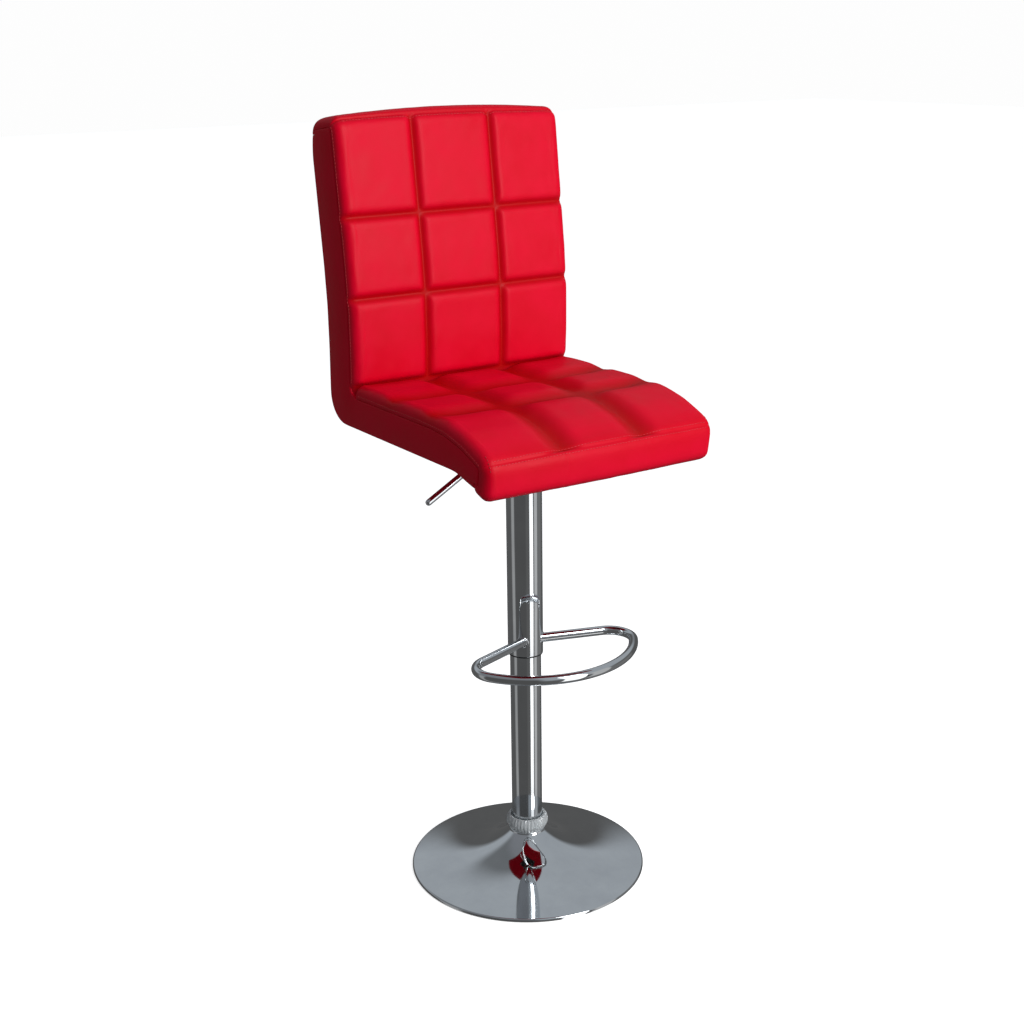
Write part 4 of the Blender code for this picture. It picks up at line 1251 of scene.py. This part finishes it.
def flare(inset, drop, count=34):
    """Stations down the flare, moved inward and downward by the sheet's thickness for the inside."""
    made = []
    for i in range(count + 1):
        share = (i / count) ** 1.5
        radius = neck_radius + (disc_radius - RIM_ROLL - neck_radius) * share
        lift = FLARE_CONE * (1 - share) + (1 - FLARE_CONE) * (1 - share) ** FLARE_POWER
        height = RIM_HEIGHT + (neck_top - RIM_ROLL - RIM_HEIGHT) * lift
        made.append((radius - inset * (1 - share), height - drop * (0.4 + 0.6 * share)))
    return made


outside = flare(0, 0)
rim = [
    (disc_radius - RIM_ROLL + RIM_ROLL * math.cos(t), RIM_HEIGHT - RIM_ROLL + RIM_ROLL * math.sin(t))
    for t in [math.radians(90 - 15 * i) for i in range(1, 7)]
]
neck = [
    (neck_radius - RIM_ROLL + RIM_ROLL * math.sin(t), neck_top - RIM_ROLL + RIM_ROLL * math.cos(t))
    for t in [math.radians(15 * i) for i in range(0, 6)]
]
inside = flare(BASE_WALL, BASE_WALL)[::-1]
base_profile = (
    [(NECK_HOLE, neck_top)]
    + neck
    + outside
    + rim
    + [(disc_radius, RIM_FOOT), (disc_radius - BASE_WALL, RIM_FOOT)]
    + [(disc_radius - BASE_WALL, RIM_HEIGHT - RIM_ROLL)]
    + inside
    + [(neck_radius - BASE_WALL, neck_top - BASE_WALL), (NECK_HOLE, neck_top - BASE_WALL)]
)
base = lathe("trumpet_base_spun", base_profile, segments=192)
complete(base, "base", "chrome", CHROME, "base_disc", smooth=50)

# %% [markdown]
# ## The clear collar
#
# A moulded ring of clear polycarbonate covers the step between the neck and the column. Its outside is
# bulged and cut with upright facets, so it glitters. Every second upright line is drawn in a little.

# %% Clear collar
COLLAR_FLUTES = 36
FLUTE_DEPTH = 0.0012
COLLAR_BULGE = 0.0040
COLLAR_SPREAD = 0.0010
COLLAR_EDGE = 0.0008
COLLAR_STEPS = 10
COLLAR_PLAY = 0.0018
COLLAR_WAIST = 0.0004
COLLAR_LIP = 0.0012
collar_low, collar_high = collar_box[0].z, collar_box[1].z
collar_bore = column_radius + COLLAR_PLAY
collar_lift = collar_high - collar_low - 2 * COLLAR_EDGE
collar_profile = [(collar_bore, collar_low + 0.0002), (neck_radius - 0.0006, collar_low + 0.0002)]
for i in range(COLLAR_STEPS + 1):
    share = i / COLLAR_STEPS
    swell = COLLAR_BULGE * math.sin(math.pi * share) + COLLAR_SPREAD * share
    level = collar_low + COLLAR_EDGE + collar_lift * share
    collar_profile.append((neck_radius - COLLAR_WAIST + swell, level))
collar_profile += [(neck_radius - COLLAR_LIP, collar_high), (collar_bore, collar_high - COLLAR_EDGE)]
collar = lathe("collar_clear", collar_profile, segments=COLLAR_FLUTES * 2)
for vert in collar.data.vertices:
    across = Vector((vert.co.x, vert.co.y, 0))
    line = math.atan2(vert.co.y, vert.co.x) / FULL_TURN * COLLAR_FLUTES * 2
    if round(line) % 2 and across.length > collar_bore + 0.001:
        vert.co -= across.normalized() * FLUTE_DEPTH
complete(collar, "base", "clear_plastic", CLEAR, "neck_collar", smooth=0)

# %% [markdown]
# ## The footrest
#
# A single tube is bent into a loop: straight arms from the cover tube, tight corners, and one wide arc
# across the front. Its route is worked out first: along one arm, round a corner, half of the front arc,
# and then the same again mirrored. A filled circle is extruded once for each point of the route, and
# each of its loops is then moved to its point and turned to face ahead.

# %% Footrest
REST_REACH = 0.180
REST_FRONT = 0.1605
REST_CORNER = 0.038
REST_ANGLE = math.radians(18)
REST_SET = 0.0135
REST_TUBE = 0.0075
CORNER_STEPS = 22
FRONT_STEPS = 40
LOOP_GAP = 0.001
rest_level = footrest_box[0].z + REST_TUBE


arm_way = Vector((math.cos(REST_ANGLE), -math.sin(REST_ANGLE), 0))
arm_inward = Vector((arm_way.y, -arm_way.x, 0))
arm_root = Vector((0, AXIS_Y - REST_SET, rest_level))
front_centre = Vector((0, AXIS_Y + REST_FRONT - REST_REACH, rest_level))
start = arm_root + arm_inward * REST_CORNER - front_centre
start.z = 0
reach = REST_FRONT - REST_CORNER
arm_length = -arm_way.dot(start) + math.sqrt(arm_way.dot(start) ** 2 - start.length_squared + reach**2)
corner_centre = arm_root + arm_way * arm_length + arm_inward * REST_CORNER
toward = corner_centre - front_centre
corner_first = math.radians(90) - REST_ANGLE
corner_last = math.atan2(toward.y, toward.x)
route = [arm_root + arm_way * (cover_radius - REST_SET)]


def arc_points(centre, radius, first, last, count):
    """Points along a level arc, from one angle to another."""
    turns = [first + (last - first) * i / count for i in range(count + 1)]
    return [centre + Vector((math.cos(t), math.sin(t), 0)) * radius for t in turns]


route += arc_points(corner_centre, REST_CORNER, corner_first, corner_last, CORNER_STEPS)
route += arc_points(front_centre, REST_FRONT, corner_last, -math.pi / 2, FRONT_STEPS)[1:]
route += [Vector((-point.x, point.y, point.z)) for point in route[-2::-1]]


def drawn_tube(name, points, radius, sides=32, end_scales=()):
    """A bar along a route: each loop is extruded, moved to its place and turned to face ahead."""
    bpy.ops.object.select_all(action="DESELECT")
    bpy.ops.mesh.primitive_circle_add(vertices=sides, radius=radius, fill_type="NGON", location=(0, 0, 0))
    made = named(name)
    rings = []
    for i, point in enumerate(points):
        ahead = (points[min(i + 1, len(points) - 1)] - points[max(i - 1, 0)]).normalized()
        level = Vector((-ahead.y, ahead.x, 0)).normalized()
        rings.append((point, level, ahead.cross(level)))
    edit(made, "FACE")
    bpy.ops.mesh.select_all(action="SELECT")
    for _ in points[1:]:
        bpy.ops.mesh.extrude_region_move(TRANSFORM_OT_translate={"value": (0, 0, LOOP_GAP)})
    leave()
    verts = made.data.vertices
    depth = np.rint(np.array([vert.co.z for vert in verts]) / LOOP_GAP).astype(int)
    scales = [1.0] * (len(points) - len(end_scales)) + list(end_scales)
    for vert, k in zip(verts, depth):
        point, level, upward = rings[k]
        vert.co = point + (level * vert.co.x + upward * vert.co.y) * scales[k]
    made.data.update()
    weld(made)
    return made


footrest = drawn_tube("footrest_loop_plated", route, REST_TUBE)
complete(footrest, "seat", "chrome", CHROME, "footrest_ring", smooth=50)

# %% [markdown]
# ## Weld beads
#
# The arms are welded to the cover tube, and plated together with it. A thin ring, shifted point by point
# onto the tube's round side, gives the small fillet where they meet.

# %% Weld beads
BEAD_RADIUS = 0.0013
BEAD_RING = REST_TUBE + 0.0004
for side_name, side in (("left", 1), ("right", -1)):
    way = Vector((side * arm_way.x, arm_way.y, 0))
    level = Vector((-way.y, way.x, 0))
    bpy.ops.object.select_all(action="DESELECT")
    bpy.ops.mesh.primitive_torus_add(
        major_segments=40, minor_segments=8, major_radius=BEAD_RING, minor_radius=BEAD_RADIUS
    )
    bead = named("weld_bead_" + side_name)
    for vert in bead.data.vertices:
        local = vert.co.copy()
        ring = Vector((local.x, local.y)).normalized() * BEAD_RING
        foot = Vector((arm_root.x, arm_root.y - AXIS_Y, 0)) + level * ring.x
        ahead = -foot.dot(way) + math.sqrt(foot.dot(way) ** 2 - foot.length_squared + cover_radius**2)
        vert.co = AXIS + foot + way * (ahead + local.z) + level * (local.x - ring.x)
        vert.co.z = rest_level + local.y
    weld(bead)
    complete(bead, "seat", "chrome", CHROME, smooth=80)

# %% [markdown]
# ## The release lever
#
# A 10 mm plated rod. Its tongue lies over the valve button, it turns on a pin in its bracket, and it
# bends down to a ball-ended handle under the seat's right side. The pin hole is bored by a Boolean.

# %% Release lever
LEVER_RADIUS = 0.005
LEVER_BEND = 0.014
LEVER_DROP = math.radians(29)
LEVER_ARM = 0.130
PIVOT_X = -0.045
TONGUE = 0.012
BEND_STEPS = 8
PIN_BORE = 0.0028
BALL_DEGREES = (0, 20, 38, 54, 68, 80)
lever_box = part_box("lever_rod")
lever_level = lever_box[1].z - LEVER_RADIUS
bend_x = PIVOT_X - LEVER_RADIUS
lever_route = [Vector((x, AXIS_Y, lever_level)) for x in (TONGUE, bend_x)]
for i in range(1, BEND_STEPS + 1):
    turn = LEVER_DROP * i / BEND_STEPS
    drop = Vector((-math.sin(turn), 0, math.cos(turn) - 1)) * LEVER_BEND
    lever_route.append(lever_route[1] + drop)
handle_way = Vector((-math.cos(LEVER_DROP), 0, -math.sin(LEVER_DROP)))
handle_end = lever_route[-1] + handle_way * LEVER_ARM
ball_turns = [math.radians(a) for a in BALL_DEGREES]
lever_route += [handle_end + handle_way * LEVER_RADIUS * math.sin(t) for t in ball_turns]
lever = drawn_tube("release_lever_rod", lever_route, LEVER_RADIUS, 28, [math.cos(t) for t in ball_turns])
bpy.ops.object.select_all(action="DESELECT")
bpy.ops.mesh.primitive_cylinder_add(
    vertices=24,
    radius=PIN_BORE,
    depth=0.03,
    location=(PIVOT_X, AXIS_Y, lever_level),
    rotation=(math.pi / 2, 0, 0),
)
drill = named("pin_drill")
bore = lever.modifiers.new("bore", "BOOLEAN")
bore.object = drill
apply_all(lever)
bpy.data.objects.remove(drill)
complete(lever, "lever", "chrome", CHROME, "lever_rod", smooth=50)

# %% [markdown]
# ## The floor
#
# The floor is a pale paper sweep, lit evenly. Only the camera sees it, so that it doesn't fill every
# reflection in the base or light the stool from below. Its glow stands in for the light that would fall
# on it, and it takes no part in lighting anything else.

# %% Floor
FLOOR_SIZE = 40
FLOOR_GLOW = 0.72
bpy.ops.object.select_all(action="DESELECT")
bpy.ops.mesh.primitive_plane_add(size=FLOOR_SIZE, location=(0, 0, 0))
floor = named("floor")
FLOOR, _, floor_shader = start_material("sweep_paper_white", Roughness=1.0, Specular_IOR_Level=0.0)
floor_shader.inputs["Base Color"].default_value = linear("#F2F2F2")
floor_shader.inputs["Emission Color"].default_value = grey(1.0)
floor_shader.inputs["Emission Strength"].default_value = FLOOR_GLOW
FLOOR.cycles.emission_sampling = "NONE"
floor.data.materials.append(FLOOR)
floor.visible_glossy = False
floor.visible_diffuse = False
floor.visible_transmission = False
print("floor:", FLOOR_SIZE, "m of", FLOOR.name)

# %% [markdown]
# ## The room
#
# Plated metal shows whatever stands round it, so the room is part of the picture. Here it is a world of
# soft bands: a dim lower half and a paler upper half, then darker walls and paler panels at their own
# places round the circle, and last a bright opening in front, split by one thin dark bar, which makes the
# long white streak on the tubes. The camera sees plain white instead of all this.

# %% Room helpers
world = bpy.data.worlds.new("studio")
bpy.context.scene.world = world
world.use_nodes = True
sky = world.node_tree
background = sky.nodes["Background"]
background.inputs["Strength"].default_value = 1.0
way = add(sky, "ShaderNodeTexCoord").outputs["Generated"]
parts = add(sky, "ShaderNodeSeparateXYZ", links={0: way})
azimuth = add(
    sky, "ShaderNodeMath", {"operation": "ARCTAN2"}, links={0: parts.outputs["Y"], 1: parts.outputs["X"]}
).outputs[0]
elevation = add(sky, "ShaderNodeMath", {"operation": "ARCSINE"}, links={0: parts.outputs["Z"]}).outputs[0]
print("room:", world.name)


def fade(source, zero_at, one_at):
    """A smooth step of an angle, both ends in degrees."""
    return add(
        sky,
        "ShaderNodeMapRange",
        {"interpolation_type": "SMOOTHSTEP"},
        {"From Min": math.radians(zero_at), "From Max": math.radians(one_at), "To Min": 0.0, "To Max": 1.0},
        {"Value": source},
    ).outputs[0]


def both(first, second):
    """A mask of what two masks share."""
    return add(sky, "ShaderNodeMath", {"operation": "MULTIPLY"}, links={0: first, 1: second}).outputs[0]


def sector(middle, half, soft):
    """1 within a sector of the room's circle, counted in degrees from +X, with soft sides."""
    turned = add(
        sky, "ShaderNodeMath", {"operation": "SUBTRACT"}, {1: math.radians(middle)}, {0: azimuth}
    ).outputs[0]
    wrapped = add(
        sky,
        "ShaderNodeMath",
        {"operation": "WRAP"},
        {1: math.pi, 2: -math.pi},
        {0: turned},
    ).outputs[0]
    away = add(sky, "ShaderNodeMath", {"operation": "ABSOLUTE"}, links={0: wrapped}).outputs[0]
    return fade(away, half + soft, half)


def tint(base, colour, mask):
    """Lays a colour over a base, which is a colour or another tint, where the mask is 1."""
    mixed = add(sky, "ShaderNodeMix", {"data_type": "RGBA"}, {MIX_OVER: colour}, {MIX_SHARE: mask})
    if isinstance(base, tuple):
        mixed.inputs[MIX_UNDER].default_value = base
    else:
        sky.links.new(base, mixed.inputs[MIX_UNDER])
    return mixed.outputs[MIX_RESULT]


# %% [markdown]
# ## Bands of light and dark
#
# Each band is a brightness, a sector of the circle given by its middle, half width and soft edge in
# degrees, and the elevations between which it fades. Degrees run anticlockwise from the stool's left side,
# and later bands lie over earlier ones.

# %% Room
LOWER_HALF = grey(0.125)
UPPER_HALF = (0.40, 0.43, 0.46, 1.0)
REAR_CEILING = (0.17, 0.18, 0.19, 1.0)
SIDE_SCREEN = (0.22, 0.23, 0.25, 1.0)
SIDE_WALL = grey(0.095)
REAR_PANEL = grey(0.36)
FAR_WALL = grey(0.11)
RIGHT_PANEL = grey(0.19)
OPENING_EDGE = grey(0.55)
OPENING_MIDDLE = grey(1.6)
OPENING_BAR = grey(0.08)
BACKDROP = grey(0.985)
opening = both(fade(elevation, 40, 20), fade(elevation, -50, -32))
side_wall = both(sector(-150, 30, 12), fade(elevation, 45, 20))
rear_panel = both(sector(158, 9, 5), fade(elevation, 30, 0))
far_wall = both(sector(56, 75, 25), fade(elevation, 27, 17))
right_panel = both(sector(-15, 16, 6), fade(elevation, 20, 0))

room = tint(LOWER_HALF, UPPER_HALF, fade(elevation, -8, 26))
room = tint(room, REAR_CEILING, both(fade(elevation, 34, 46), sector(140, 45, 30)))
room = tint(room, SIDE_SCREEN, both(fade(elevation, 5, 25), sector(190, 40, 30)))
room = tint(room, SIDE_WALL, side_wall)
room = tint(room, REAR_PANEL, rear_panel)
room = tint(room, FAR_WALL, far_wall)
room = tint(room, RIGHT_PANEL, right_panel)
room = tint(room, OPENING_EDGE, both(sector(-47, 10, 4), opening))
room = tint(room, OPENING_MIDDLE, both(sector(-78, 11, 3), opening))
room = tint(room, OPENING_BAR, both(sector(-64.5, 1.4, 1.2), opening))
sees = add(sky, "ShaderNodeLightPath")
seen = tint(room, BACKDROP, sees.outputs["Is Camera Ray"])
sky.links.new(seen, background.inputs["Color"])
print("room:", len(sky.nodes), "nodes")

# %% [markdown]
# ## The key light
#
# One large softbox stands in front of the stool, a little above it. It gives the tiles their soft
# shoulders, and leaves the stool's left side in shade.

# %% Key softbox
STOOL_MIDDLE = Vector((0, 0, 0.75))
KEY_TURN = math.radians(-76)
KEY_LIFT = math.radians(27)
KEY_DISTANCE = 2.7
KEY_WIDTH, KEY_HEIGHT = 1.0, 2.2
KEY_POWER = 53
key_level = math.cos(KEY_LIFT)
toward_key = Vector((math.cos(KEY_TURN) * key_level, math.sin(KEY_TURN) * key_level, math.sin(KEY_LIFT)))
key_light = bpy.data.lights.new("key_softbox", "AREA")
key_light.shape = "RECTANGLE"
key_light.size = KEY_WIDTH
key_light.size_y = KEY_HEIGHT
key_light.energy = KEY_POWER
key_softbox = bpy.data.objects.new("key_softbox", key_light)
bpy.context.collection.objects.link(key_softbox)
key_softbox.location = STOOL_MIDDLE + toward_key * KEY_DISTANCE
key_softbox.rotation_euler = toward_key.to_track_quat("Z", "Y").to_euler()
key_softbox.visible_camera = False
print("key softbox:", KEY_WIDTH, "by", KEY_HEIGHT, "m,", KEY_DISTANCE, "m away")

# %% [markdown]
# ## The camera
#
# The camera stands at the stool's left front corner, above the seat, and looks down a little. The plain
# view transform is set with it, because a filmic one washes a saturated red out.

# %% Camera
CAMERA_PLACE = Vector((-1.26227, -1.90391 + AXIS_Y, 1.33032))
CAMERA_TURN = -33.072
CAMERA_DOWN = 17.462
CAMERA_ROLL = -0.738
CAMERA_LENS = 54.01
lens = bpy.data.cameras.new("camera")
lens.lens = CAMERA_LENS
camera = bpy.data.objects.new("camera", lens)
bpy.context.collection.objects.link(camera)
spin = (
    Matrix.Rotation(math.radians(CAMERA_TURN), 4, "Z")
    @ Matrix.Rotation(math.radians(90 - CAMERA_DOWN), 4, "X")
    @ Matrix.Rotation(math.radians(CAMERA_ROLL), 4, "Z")
)
camera.matrix_world = Matrix.Translation(CAMERA_PLACE) @ spin
bpy.context.scene.camera = camera
bpy.context.scene.view_settings.view_transform = "Standard"
print("camera:", CAMERA_LENS, "mm lens,", round(CAMERA_PLACE.length, 2), "m from the origin")
